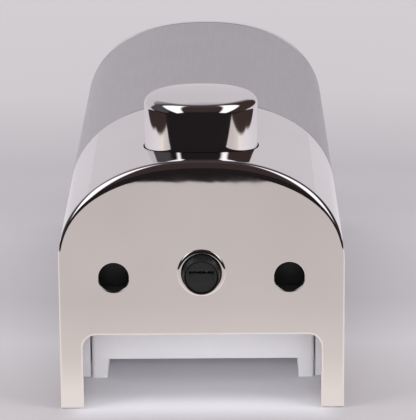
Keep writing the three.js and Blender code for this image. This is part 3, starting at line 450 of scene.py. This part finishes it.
RIB_COUNT = 2
RIB_HALF_THICKNESS = 1 * MM
RIB_DEPTH = 3 * MM
TOP_GAP = 0.3 * MM
TOP_WALL = 3.5 * MM
SKIRT_THICKNESS = 1.8 * MM
LUG_INNER = 41 * MM
LUG_RADIUS = 4.8 * MM
LUG_BORE = 1.8 * MM


def upper_cover():
    """The satin length of the arch, with ribs inside."""
    low, high = upper_low.y, upper_high.y
    pieces = [arch_band("band", low, high, 0, WALL, SEAM_EDGE)]
    for rib in range(RIB_COUNT):
        y = low + (high - low) * (rib + 1) / (RIB_COUNT + 1)
        pieces.append(arch_band(
            "rib", y - RIB_HALF_THICKNESS, y + RIB_HALF_THICKNESS, WALL - FIT, WALL + RIB_DEPTH, RIM_EDGE))
    return joined("upper_cover_shell", pieces)


def top_cap():
    """Polished end: a hollow cap with a skirt inside the upper cover and a lug on each hinge pin."""
    start = upper_high.y + TOP_GAP
    end = cap_high.y
    pin_low, pin_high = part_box("hinge_pin_right")
    pivot_y, pivot_z = (pin_low.y + pin_high.y) / 2, (pin_low.z + pin_high.z) / 2
    pivot = (0, pivot_y, pivot_z)
    window = HALF_WIDTH - WALL - TOP_WALL
    far = HALF_WIDTH + OVERRUN
    rings = [arch_ring(start + behind, drawn) for behind, drawn in quarter_round(SEAM_EDGE, SEAM_STEPS)]
    rings += rounded_end(end, -1, 0, CROWN_RADIUS, EDGE_RADIUS)[::-1]
    corner = box_object("corner", (-far, pivot_y, -OVERRUN), (far, end + OVERRUN, pivot_z))
    rounding = rod("rounding", end - pivot_y, -far - OVERRUN, far + OVERRUN, axis="x", place=pivot)
    shell = cut(loft("top_cap_shell", rings), [
        loft("cavity", [arch_ring(y, TOP_WALL, FOOT - OVERRUN) for y in (start - OVERRUN, end - WALL)]),
        box_object("window", (-window, pivot_y - OVERRUN, -OVERRUN), (window, end + OVERRUN, pivot_z)),
        cut(corner, [rounding]),
    ])
    skirt_outer = WALL + FIT
    skirt = arch_band(
        "skirt", cap_low.y, start + EDGE_RADIUS, skirt_outer, skirt_outer + SKIRT_THICKNESS, RIM_EDGE)
    lugs = []
    for side in (-1, 1):
        inner, outer = side * LUG_INNER, side * (HALF_WIDTH - WALL)
        profile = [(LUG_BORE, inner), (LUG_RADIUS, inner), (LUG_RADIUS, outer), (LUG_BORE, outer)]
        lugs.append(lathe("lug", profile, PIN_STEPS, "x", pivot))
    return joined("top_cap_shell", [shell, skirt] + lugs)


# Push button: a turned cap with a domed top and a rounded edge

DOME_SLOPE = math.radians(10)
DOME_STEPS = 13
BUTTON_ROUND = 3.6 * MM
BUTTON_ROUND_STEPS = 16
BUTTON_LIP_HEIGHT = 2 * MM
BUTTON_LIP_SUPPORT = 1 * MM
BUTTON_WALL = 2 * MM
BUTTON_TOP_WALL = 3.5 * MM
BUTTON_BEVEL_DROP = 2 * MM
BUTTON_BEVEL_REACH = 1.6 * MM
SOCKET_RADIUS = 5.7 * MM
SOCKET_BORE = 3.7 * MM
SOCKET_DEPTH = 8 * MM


def push_button():
    top = button_high.z
    radius = BUTTON_RADIUS
    join_radius = radius - BUTTON_ROUND + BUTTON_ROUND * math.sin(DOME_SLOPE)
    dome_radius = join_radius / math.sin(DOME_SLOPE)
    edge_level = top - dome_radius * (1 - math.cos(DOME_SLOPE)) - BUTTON_ROUND * math.cos(DOME_SLOPE)
    profile = []
    for angle in np.linspace(0, DOME_SLOPE, DOME_STEPS + 1)[:-1]:
        profile.append((dome_radius * math.sin(angle), top - dome_radius * (1 - math.cos(angle))))
    profile += fillet(
        (radius - BUTTON_ROUND, edge_level), BUTTON_ROUND,
        RIGHT_ANGLE - math.degrees(DOME_SLOPE), 0, BUTTON_ROUND_STEPS)
    lip = button_low.z + BUTTON_LIP_HEIGHT
    inner = radius - BUTTON_WALL
    ceiling = top - BUTTON_TOP_WALL
    socket_end = ceiling - SOCKET_DEPTH
    profile += [
        (radius, lip + BUTTON_LIP_SUPPORT), (radius, lip), (button_high.x, lip),
        (button_high.x, button_low.z), (inner, button_low.z),
        (inner, ceiling - BUTTON_BEVEL_DROP), (inner - BUTTON_BEVEL_REACH, ceiling),
        (SOCKET_RADIUS, ceiling), (SOCKET_RADIUS, socket_end),
        (SOCKET_BORE, socket_end), (SOCKET_BORE, ceiling), (0, ceiling),
    ]
    return lathe("push_button_cap", profile, BUTTON_STEPS, place=(0, BUTTON_Y, 0))


# Nozzle: a black tube with a thin rounded mouth

NOZZLE_TAPER = 0.4 * MM
NOZZLE_EDGE = 0.35 * MM
MOUTH_RADIUS = 5.8 * MM
MOUTH_EDGE = 0.3 * MM
MOUTH_STEPS = 4
NOZZLE_BORE = 4.7 * MM
NOZZLE_BORE_DEPTH = 15 * MM
NOZZLE_NECK = 3 * MM
NOZZLE_NECK_LENGTH = 3 * MM


def nozzle_tube():
    front, back = nozzle_low.y, nozzle_high.y
    tip = NOZZLE_RADIUS - NOZZLE_TAPER
    bore_end = back - NOZZLE_BORE_DEPTH
    mouth_end = bore_end - NOZZLE_NECK_LENGTH
    profile = fillet((tip - NOZZLE_EDGE, front + NOZZLE_EDGE), NOZZLE_EDGE, -RIGHT_ANGLE, 0)
    profile += [
        (NOZZLE_RADIUS, END_FACE), (NOZZLE_RADIUS, back), (NOZZLE_BORE, back), (NOZZLE_BORE, bore_end),
        (NOZZLE_NECK, bore_end), (NOZZLE_NECK, mouth_end), (MOUTH_RADIUS, mouth_end),
    ]
    profile += fillet(
        (MOUTH_RADIUS + MOUTH_EDGE, front + MOUTH_EDGE), MOUTH_EDGE,
        2 * RIGHT_ANGLE, 3 * RIGHT_ANGLE, MOUTH_STEPS)
    return lathe("nozzle_tube", profile, axis="y", place=(0, 0, NOZZLE_Z))


# White mouldings: the solids' own forms with their edges softened

# Faces under the first angle merge and edges over the second are rounded, in degrees
FLAT_ANGLE = 1
MOULD_EDGE_ANGLE = 50
MOULD_EDGE_SEGMENTS = 3
WALL_PLATE_EDGE = 0.5 * MM
CHASSIS_EDGE = 0.4 * MM


def solid_copy(node_name, name):
    """An object with a copy of a solid's mesh."""
    mesh = frame["nodes"][node_name].data.copy()
    mesh.name = name
    return linked(name, mesh)


def softened(node_name, name, width):
    """A copy of a solid with its flat faces merged and its edges rounded."""
    obj = solid_copy(node_name, name)
    bm = bmesh.new()
    bm.from_mesh(obj.data)
    bmesh.ops.remove_doubles(bm, verts=bm.verts, dist=COPY_WELD)
    bmesh.ops.dissolve_limit(
        bm, angle_limit=math.radians(FLAT_ANGLE), verts=bm.verts, edges=bm.edges)
    bm.to_mesh(obj.data)
    bm.free()
    modifier = obj.modifiers.new("round", "BEVEL")
    modifier.width = width
    modifier.segments = MOULD_EDGE_SEGMENTS
    modifier.limit_method = "ANGLE"
    modifier.angle_limit = math.radians(MOULD_EDGE_ANGLE)
    return settled(obj)


# Springs: the solids' own coils


def coil(node_name):
    """A smooth-shaded copy of a spring's mesh, in steel on the frame."""
    obj = solid_copy(node_name, node_name + "_coil")
    dress(smooth(obj, COIL_SHARP_ANGLE), "steel", "frame", node_name)
    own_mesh(obj)


# Materials

# Noise stays between these levels nearly everywhere
NOISE_LOW, NOISE_HIGH = 0.3, 0.7
SOFT_NOISE, ROUGH_NOISE = 0.5, 0.6
GRAIN_STRETCH = (8, 0.4, 8)
WAVE_DEPTH = 0.03 * MM
SATIN_DEPTH = 0.003 * MM
FINE_DEPTH = 0.01 * MM
COARSE_DEPTH = 0.02 * MM
GLOSS_SPREAD = 0.05
SCATTER_REACH = 4 * MM


def shader(name):
    material = bpy.data.materials.new(name)
    material.use_nodes = True
    nodes = material.node_tree.nodes
    return material, nodes, material.node_tree.links, nodes["Principled BSDF"]


def noise(nodes, links, scale, detail, roughness=SOFT_NOISE, stretch=None):
    """Noise in the object's own metres, stretched along an axis where asked."""
    coordinates = nodes.new("ShaderNodeTexCoord")
    texture = nodes.new("ShaderNodeTexNoise")
    texture.inputs["Scale"].default_value = scale
    texture.inputs["Detail"].default_value = detail
    texture.inputs["Roughness"].default_value = roughness
    if stretch is None:
        links.new(coordinates.outputs["Object"], texture.inputs["Vector"])
    else:
        mapping = nodes.new("ShaderNodeMapping")
        mapping.inputs["Scale"].default_value = stretch
        links.new(coordinates.outputs["Object"], mapping.inputs["Vector"])
        links.new(mapping.outputs["Vector"], texture.inputs["Vector"])
    return texture.outputs["Fac"]


def ramp(nodes, links, source, stops):
    """Colours along a value."""
    node = nodes.new("ShaderNodeValToRGB")
    elements = node.color_ramp.elements
    while len(elements) < len(stops):
        elements.new(1)
    for element, (place, color) in zip(elements, stops):
        element.position = place
        element.color = (*color, 1)
    links.new(source, node.inputs["Fac"])
    return node.outputs["Color"]


def spread(nodes, links, source, low, high, low_in=NOISE_LOW, high_in=NOISE_HIGH):
    """A value carried to a range."""
    node = nodes.new("ShaderNodeMapRange")
    node.inputs["From Min"].default_value = low_in
    node.inputs["From Max"].default_value = high_in
    node.inputs["To Min"].default_value = low
    node.inputs["To Max"].default_value = high
    links.new(source, node.inputs["Value"])
    return node.outputs["Result"]


def bump(nodes, links, source, bsdf, depth, strength):
    node = nodes.new("ShaderNodeBump")
    node.inputs["Distance"].default_value = depth
    node.inputs["Strength"].default_value = strength
    links.new(source, node.inputs["Height"])
    links.new(node.outputs["Normal"], bsdf.inputs["Normal"])


def toned(nodes, links, bsdf, source, dark, light):
    """A base colour that wanders between two close tones."""
    color = ramp(nodes, links, source, [(NOISE_LOW, dark), (NOISE_HIGH, light)])
    links.new(color, bsdf.inputs["Base Color"])


def glossed(nodes, links, bsdf, source, low, high):
    """A roughness that wanders between two values."""
    links.new(spread(nodes, links, source, low, high), bsdf.inputs["Roughness"])


def polished_chrome():
    """Bright plating: almost a mirror, with the slow waves of a moulding and faint handling marks."""
    material, nodes, links, bsdf = shader("polished_chrome")
    bsdf.inputs["Metallic"].default_value = 1
    tone = noise(nodes, links, scale=30, detail=2)
    toned(nodes, links, bsdf, tone, dark=(0.83, 0.81, 0.82), light=(0.87, 0.85, 0.86))
    marks = noise(nodes, links, scale=60, detail=6, roughness=ROUGH_NOISE)
    glossed(nodes, links, bsdf, marks, low=0.015, high=0.04)
    waves = noise(nodes, links, scale=45, detail=1)
    bump(nodes, links, waves, bsdf, WAVE_DEPTH, strength=0.5)
    return material


def satin_chrome():
    """Fine matt plating with a faint lengthwise grain."""
    material, nodes, links, bsdf = shader("satin_chrome")
    bsdf.inputs["Metallic"].default_value = 0.85
    tone = noise(nodes, links, scale=25, detail=3)
    toned(nodes, links, bsdf, tone, dark=(0.48, 0.47, 0.5), light=(0.51, 0.5, 0.53))
    grain = noise(nodes, links, scale=120, detail=4, roughness=ROUGH_NOISE, stretch=GRAIN_STRETCH)
    glossed(nodes, links, bsdf, grain, low=0.3, high=0.36)
    bump(nodes, links, grain, bsdf, SATIN_DEPTH, strength=0.3)
    return material


def moulded(name, dark, light, roughness, grain_scale=900, depth=FINE_DEPTH, coat=0.0, subsurface=0.0):
    """Moulded plastic or rubber: a slight unevenness of tone, a fine grain and its own gloss."""
    material, nodes, links, bsdf = shader(name)
    toned(nodes, links, bsdf, noise(nodes, links, scale=35, detail=3), dark, light)
    grain = noise(nodes, links, scale=grain_scale, detail=3, roughness=ROUGH_NOISE)
    glossed(nodes, links, bsdf, grain, roughness - GLOSS_SPREAD, roughness + GLOSS_SPREAD)
    bump(nodes, links, grain, bsdf, depth, strength=0.5)
    bsdf.inputs["Coat Weight"].default_value = coat
    if subsurface:
        bsdf.inputs["Subsurface Weight"].default_value = subsurface
        bsdf.inputs["Subsurface Scale"].default_value = SCATTER_REACH
    return material


def white_plastic():
    return moulded(
        "white_plastic", dark=(0.8, 0.79, 0.82), light=(0.84, 0.83, 0.86), roughness=0.32, coat=0.15)


def natural_plastic():
    return moulded(
        "natural_plastic", dark=(0.8, 0.79, 0.74), light=(0.86, 0.85, 0.8), roughness=0.42, subsurface=0.1)


def tank_plastic():
    return moulded(
        "tank_plastic", dark=(0.6, 0.63, 0.64), light=(0.66, 0.69, 0.7), roughness=0.4,
        grain_scale=500, depth=COARSE_DEPTH, subsurface=0.2)


def black_plastic():
    return moulded(
        "black_plastic", dark=(0.009, 0.009, 0.01), light=(0.013, 0.013, 0.015), roughness=0.42)


def black_rubber():
    return moulded(
        "black_rubber", dark=(0.009, 0.009, 0.01), light=(0.014, 0.014, 0.015), roughness=0.62,
        grain_scale=1200, depth=COARSE_DEPTH)


def steel():
    """Bright drawn wire and turned screws."""
    material, nodes, links, bsdf = shader("steel")
    bsdf.inputs["Metallic"].default_value = 1
    tone = noise(nodes, links, scale=200, detail=4)
    toned(nodes, links, bsdf, tone, dark=(0.5, 0.5, 0.52), light=(0.64, 0.64, 0.66))
    glossed(nodes, links, bsdf, tone, low=0.2, high=0.34)
    bump(nodes, links, tone, bsdf, FINE_DEPTH, strength=0.4)
    return material


materials = {
    "polished_chrome": polished_chrome(),
    "satin_chrome": satin_chrome(),
    "white_plastic": white_plastic(),
    "natural_plastic": natural_plastic(),
    "tank_plastic": tank_plastic(),
    "black_plastic": black_plastic(),
    "black_rubber": black_rubber(),
    "steel": steel(),
}


def paint(obj, slot):
    obj.data.materials.clear()
    obj.data.materials.append(materials[slot])


def dress(obj, slot, body, node_name):
    """Gives a piece its material and its body, and hides the CAD node that it stands for."""
    paint(obj, slot)
    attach(obj, body)
    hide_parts(node_name)


def dress_carried_nodes():
    """The solids that are shown as they are take their slot's material."""
    slot_of = {row["node"]: row["material_slot"] for row in frame["record"]["subparts"]}
    for node_name, node in frame["nodes"].items():
        paint(node, slot_of[node_name])


# Camera at the photograph's place

# Place, turns in degrees and focal length in pixels of the photo, as fitted to it
CAMERA_PLACE = (7.92 * MM, -1073.35 * MM, 330.23 * MM)
CAMERA_PITCH = 15.147
CAMERA_YAW = -0.329
CAMERA_ROLL = -0.440
FOCAL_PIXELS = 2843
PICTURE_HEIGHT = 420
# Sensor in millimetres, and the nearest and farthest distance that the camera sees
SENSOR = 36
CAMERA_REACH = (0.05, 50)


def photo_camera():
    pitch, yaw, roll = (math.radians(a) for a in (CAMERA_PITCH, CAMERA_YAW, CAMERA_ROLL))

    def turned(v):
        return Vector((
            v[0] * math.cos(yaw) + v[1] * math.sin(yaw), -v[0] * math.sin(yaw) + v[1] * math.cos(yaw), v[2]))

    right = turned((1, 0, 0))
    ahead = turned((0, math.cos(pitch), -math.sin(pitch)))
    up = turned((0, math.sin(pitch), math.cos(pitch)))
    side = right * math.cos(roll) + up * math.sin(roll)
    top = up * math.cos(roll) - right * math.sin(roll)
    data = bpy.data.cameras.new("photo_camera")
    data.sensor_width = SENSOR
    data.sensor_fit = "AUTO"
    data.lens = FOCAL_PIXELS * SENSOR / PICTURE_HEIGHT
    data.clip_start, data.clip_end = CAMERA_REACH
    camera = linked("photo_camera", data)
    turn = Matrix((side, top, -ahead)).transposed().to_4x4()
    camera.matrix_world = Matrix.Translation(Vector(CAMERA_PLACE)) @ turn
    bpy.context.scene.camera = camera


# Node helpers of the studio

def linear(*levels):
    """8-bit display levels as linear light."""
    shares = [level / 255 for level in levels]
    return tuple(s / 12.92 if s <= 0.04045 else ((s + 0.055) / 1.055) ** 2.4 for s in shares)


def math_node(tree, operation, first, second=None):
    node = tree.nodes.new("ShaderNodeMath")
    node.operation = operation
    for index, value in enumerate((first, second)):
        if isinstance(value, (int, float)):
            node.inputs[index].default_value = value
        elif value is not None:
            tree.links.new(value, node.inputs[index])
    return node.outputs[0]


def opposite(tree, share):
    """1 less a share."""
    return math_node(tree, "SUBTRACT", 1, share)


def both(tree, first, second):
    """The product of two shares, or a value times a number."""
    return math_node(tree, "MULTIPLY", first, second)


def rising(tree, value, edge, soft):
    """0 below an edge and 1 above it, with a soft step."""
    node = tree.nodes.new("ShaderNodeMapRange")
    node.interpolation_type = "SMOOTHSTEP"
    node.inputs["From Min"].default_value = edge - soft / 2
    node.inputs["From Max"].default_value = edge + soft / 2
    tree.links.new(value, node.inputs["Value"])
    return node.outputs["Result"]


def mix_color(tree, share, under, over):
    node = tree.nodes.new("ShaderNodeMix")
    node.data_type = "RGBA"
    tree.links.new(share, node.inputs[0])
    for socket, value in ((node.inputs[6], under), (node.inputs[7], over)):
        if isinstance(value, tuple):
            socket.default_value = (*value, 1)
        else:
            tree.links.new(value, socket)
    return node.outputs[2]


def mix_shader(tree, share, first, second):
    node = tree.nodes.new("ShaderNodeMixShader")
    for socket, value in zip(node.inputs, (share, first, second)):
        tree.links.new(value, socket)
    return node.outputs[0]


# Floor: a pale sweep

FLOOR_SIZE = 6
FLOOR_ROUGHNESS = 0.8
FLOOR_SPECULAR = 0.1
# Colours along Y, between the two ends named here. They paint the sweep's light and shade as lighter and
# darker bands, the darkest band beside the object being its painted shade
FLOOR_NEAR, FLOOR_FAR = -0.5, 0.7
FLOOR_STOPS = [
    (-0.5, linear(196, 191, 195)),
    (-0.2, linear(189, 184, 188)),
    (-0.12, linear(189, 184, 188)),
    (-0.045, linear(211, 206, 211)),
    (0.01, linear(198, 193, 198)),
    (0.1, linear(202, 197, 202)),
    (0.22, linear(182, 177, 182)),
    (0.38, linear(202, 197, 201)),
    (0.62, linear(210, 205, 209)),
]
# The strip between the legs, which the end plate lights up
LIT_HALF_WIDTH = 46 * MM
LIT_SOFT = 12 * MM
LIT_FADE = 26 * MM
LIT_FRONT = END_FACE - 5 * MM
LIT_BACK = END_FACE + 120 * MM
LIT_FLOOR = linear(240, 239, 245)
# The same sweep as the plating mirrors it: in mirrors the floor glows with these set colours in place of its
# lit shading, a painted reflection of its light and shade
MIRRORED_STOPS = [
    (-0.45, linear(204, 196, 192)),
    (-0.25, linear(208, 199, 196)),
    (-0.18, linear(222, 213, 207)),
    (-0.14, linear(243, 234, 227)),
    (0.0, linear(232, 228, 232)),
    (0.3, linear(214, 209, 214)),
]
# The paper under the object, as the plating mirrors it: its front edge and its two sides
PAPER_FRONT = END_FACE - 318 * MM
PAPER_FRONT_SOFT = 3 * MM
PAPER_MIDDLE = 50 * MM
PAPER_SLOPE_LEFT = 0.6
PAPER_SLOPE_RIGHT = 0.42
PAPER_SIDE = 408 * MM
PAPER_SIDE_SOFT = 12 * MM
PAPER_SIDE_SLOPE = 0.35
PAPER_SIDE_END = 210 * MM
PAPER_SIDE_END_SOFT = 30 * MM
TORN_SCALE = 160
TORN_DETAIL = 4
TORN_DEPTH = 9 * MM
TORN_LEVEL = 0.5
DARK_ROOM = linear(34, 30, 31)
BROWN_ROOM = (0.045, 0.03, 0.026)


def along_floor(material, y, stops):
    """The colour of a list of stops at a place along the floor."""
    nodes, links = material.node_tree.nodes, material.node_tree.links
    length = FLOOR_FAR - FLOOR_NEAR
    place = spread(nodes, links, y, 0, 1, FLOOR_NEAR, FLOOR_FAR)
    return ramp(nodes, links, place, [((level - FLOOR_NEAR) / length, color) for level, color in stops])


def lit_strip(tree, x, y):
    """1 between the legs, fading out in front of them and farther back."""
    aside = math_node(tree, "ABSOLUTE", x)
    between = opposite(tree, rising(tree, aside, LIT_HALF_WIDTH, LIT_SOFT))
    started = both(tree, between, rising(tree, y, LIT_FRONT, LIT_FADE))
    return both(tree, started, opposite(tree, rising(tree, y, LIT_BACK, LIT_FADE)))


def behind_paper_front(material, x, y):
    """1 behind the paper's torn front edge, which runs back at both sides of its middle."""
    tree = material.node_tree
    torn = noise(tree.nodes, tree.links, TORN_SCALE, TORN_DETAIL)
    wave = both(tree, math_node(tree, "SUBTRACT", torn, TORN_LEVEL), TORN_DEPTH)
    left = math_node(tree, "SUBTRACT", both(tree, x, -1), PAPER_MIDDLE)
    right = math_node(tree, "SUBTRACT", x, PAPER_MIDDLE)
    drop = math_node(
        tree, "ADD",
        both(tree, math_node(tree, "MAXIMUM", left, 0), PAPER_SLOPE_LEFT),
        both(tree, math_node(tree, "MAXIMUM", right, 0), PAPER_SLOPE_RIGHT))
    ahead = math_node(tree, "ADD", math_node(tree, "SUBTRACT", y, drop), wave)
    return rising(tree, ahead, PAPER_FRONT, PAPER_FRONT_SOFT)


def between_paper_sides(tree, x, y):
    """1 between the paper's sides, and everywhere past their far end."""
    drift = both(tree, math_node(tree, "MAXIMUM", y, 0), PAPER_SIDE_SLOPE)
    aside = math_node(tree, "ADD", math_node(tree, "ABSOLUTE", x), drift)
    inside = opposite(tree, rising(tree, aside, PAPER_SIDE, PAPER_SIDE_SOFT))
    return math_node(tree, "MAXIMUM", inside, rising(tree, y, PAPER_SIDE_END, PAPER_SIDE_END_SOFT))


def floor():
    """A pale sweep. In mirrors it ends where the paper did, with the dark room beyond."""
    size = FLOOR_SIZE
    corners = [(-size, -size, 0), (size, -size, 0), (size, size, 0), (-size, size, 0)]
    obj = mesh_object("floor", corners, [(0, 1, 2, 3)])
    material, nodes, links, bsdf = shader("floor_sweep")
    tree = material.node_tree
    coordinates = nodes.new("ShaderNodeTexCoord")
    split = nodes.new("ShaderNodeSeparateXYZ")
    links.new(coordinates.outputs["Object"], split.inputs["Vector"])
    x, y = split.outputs["X"], split.outputs["Y"]
    # The floor's colour carries painted light and shade: bands along Y, and a painted pool of light between
    # the legs
    seen = mix_color(tree, lit_strip(tree, x, y), along_floor(material, y, FLOOR_STOPS), LIT_FLOOR)
    links.new(seen, bsdf.inputs["Base Color"])
    bsdf.inputs["Roughness"].default_value = FLOOR_ROUGHNESS
    bsdf.inputs["Specular IOR Level"].default_value = FLOOR_SPECULAR
    inside_front = behind_paper_front(material, x, y)
    paper = both(tree, inside_front, between_paper_sides(tree, x, y))
    beyond = mix_color(tree, inside_front, DARK_ROOM, BROWN_ROOM)
    mirrored = mix_color(tree, paper, beyond, along_floor(material, y, MIRRORED_STOPS))
    # In mirrors the floor is a glow of set colours: the sweep's painted light and shade, and the dark room
    # beyond the paper
    glow = nodes.new("ShaderNodeEmission")
    links.new(mirrored, glow.inputs["Color"])
    path = nodes.new("ShaderNodeLightPath")
    mix = mix_shader(tree, path.outputs["Is Glossy Ray"], bsdf.outputs[0], glow.outputs[0])
    links.new(mix, nodes["Material Output"].inputs["Surface"])
    obj.data.materials.append(material)


# World: even light, a plain backdrop, and the room that the plating mirrors

def heading(azimuth, elevation):
    """A direction from its angle off +Y and its height over the horizon, in degrees."""
    a, e = math.radians(azimuth), math.radians(elevation)
    return Vector((math.sin(a) * math.cos(e), math.cos(a) * math.cos(e), math.sin(e)))


def wall(first, last, low, high):
    """The corners of a wall between two azimuths and two heights, in degrees."""
    return [heading(first, low), heading(last, low), heading(last, high), heading(first, high)]


def overhead(*places):
    """The directions of points on a ceiling one unit up."""
    return [Vector((x, y, 1)).normalized() for x, y in places]


SKY_LIGHT = (0.82, 0.82, 0.82)
BACKDROP = linear(212, 207, 211)
CEILING = linear(60, 48, 48)
DIM_CEILING = linear(70, 62, 66)
PALE_WALL = linear(207, 202, 206)
GREY_WALL = linear(150, 146, 151)
SHADED_WALL = linear(78, 74, 77)
SOFTBOX = (1.25, 1.24, 1.27)
WALL_FOOT = -12
WALL_TOP = 42
# Patches of the mirrored room, each over the ones before: four corners, softness of the edges, colour
ROOM_PATCHES = [
    (wall(110, 250, WALL_FOOT, 14), 0.15, DARK_ROOM),
    (wall(-89, 89, -10, 60), 0.3, DIM_CEILING),
    (wall(28, 120, 4, 50), 0.15, BROWN_ROOM),
    (wall(-110, -48, WALL_FOOT, WALL_TOP), 0.2, SHADED_WALL),
    (wall(-50, 26, WALL_FOOT, WALL_TOP), 0.3, GREY_WALL),
    (wall(-60, 30, WALL_FOOT, 25), 0.12, PALE_WALL),
    (overhead((-0.2, 0.4), (-1.05, 0.4), (-4.1, -3.7), (-1.36, -1.82)), 0.1, SOFTBOX),
    (overhead((0.25, 0.4), (1.1, 0.4), (5.6, -4.36), (1.9, -2.35)), 0.1, SOFTBOX),
]


def patch_share(tree, direction, corners, soft):
    """1 inside four corners on the sky and 0 outside, with soft edges."""
    middle = sum(corners, Vector())
    share = None
    for first, second in zip(corners, corners[1:] + corners[:1]):
        side = first.cross(second).normalized()
        if side.dot(middle) < 0:
            side = -side
        node = tree.nodes.new("ShaderNodeVectorMath")
        node.operation = "DOT_PRODUCT"
        tree.links.new(direction, node.inputs[0])
        node.inputs[1].default_value = side
        step = rising(tree, node.outputs["Value"], 0, soft)
        share = step if share is None else both(tree, share, step)
    return share


def background(tree, color):
    node = tree.nodes.new("ShaderNodeBackground")
    if isinstance(color, tuple):
        node.inputs["Color"].default_value = (*color, 1)
    else:
        tree.links.new(color, node.inputs["Color"])
    return node.outputs[0]


def world():
    studio = bpy.data.worlds.new("studio")
    bpy.context.scene.world = studio
    studio.use_nodes = True
    tree = studio.node_tree
    tree.nodes.clear()
    coordinates = tree.nodes.new("ShaderNodeTexCoord")
    direction = coordinates.outputs["Generated"]
    room = CEILING
    for corners, soft, color in ROOM_PATCHES:
        room = mix_color(tree, patch_share(tree, direction, corners, soft), room, color)
    path = tree.nodes.new("ShaderNodeLightPath")
    unseen = mix_shader(
        tree, path.outputs["Is Glossy Ray"], background(tree, SKY_LIGHT), background(tree, room))
    surface = mix_shader(tree, path.outputs["Is Camera Ray"], unseen, background(tree, BACKDROP))
    out = tree.nodes.new("ShaderNodeOutputWorld")
    tree.links.new(surface, out.inputs["Surface"])


# Lamps: name, place, point aimed at, size and power in watts
LAMPS = [
    ("lamp_left", (-0.9, -0.5, 1.0), (0, 0, 0.05), (0.6, 0.6), 5),
    ("lamp_right", (0.9, -0.5, 1.0), (0, 0, 0.05), (0.6, 0.6), 5),
    ("lamp_front", (0, -1.3, 0.35), (0, -0.1, 0.02), (0.8, 0.5), 6),
]


def lamp(name, place, aim, size, power):
    """A soft lamp that no mirror shows: the mirrored room has softboxes of its own."""
    data = bpy.data.lights.new(name, "AREA")
    data.shape = "RECTANGLE"
    data.size, data.size_y = size
    data.energy = power
    obj = linked(name, data)
    obj.location = place
    obj.rotation_euler = (Vector(aim) - Vector(place)).to_track_quat("-Z", "Y").to_euler()
    obj.visible_glossy = False
    obj.visible_camera = False


bpy.context.scene.view_settings.view_transform = "Standard"
photo_camera()
floor()
world()
for lamp_facts in LAMPS:
    lamp(*lamp_facts)

dress_carried_nodes()
dress(smooth(lower_cover()), "polished_chrome", "frame", "lower_cover")
dress(smooth(upper_cover()), "satin_chrome", "cover", "upper_cover")
dress(smooth(top_cap()), "polished_chrome", "cover", "top_cap")
dress(smooth(push_button()), "polished_chrome", "button", "push_button")
dress(smooth(nozzle_tube()), "black_plastic", "frame", "nozzle")
plate = softened("wall_plate", "wall_plate_tray", WALL_PLATE_EDGE)
dress(smooth(plate), "white_plastic", "frame", "wall_plate")
bridge = softened("chassis", "chassis_bridge", CHASSIS_EDGE)
dress(smooth(bridge), "white_plastic", "frame", "chassis")
coil("return_spring")
coil("latch_spring_left")
coil("latch_spring_right")
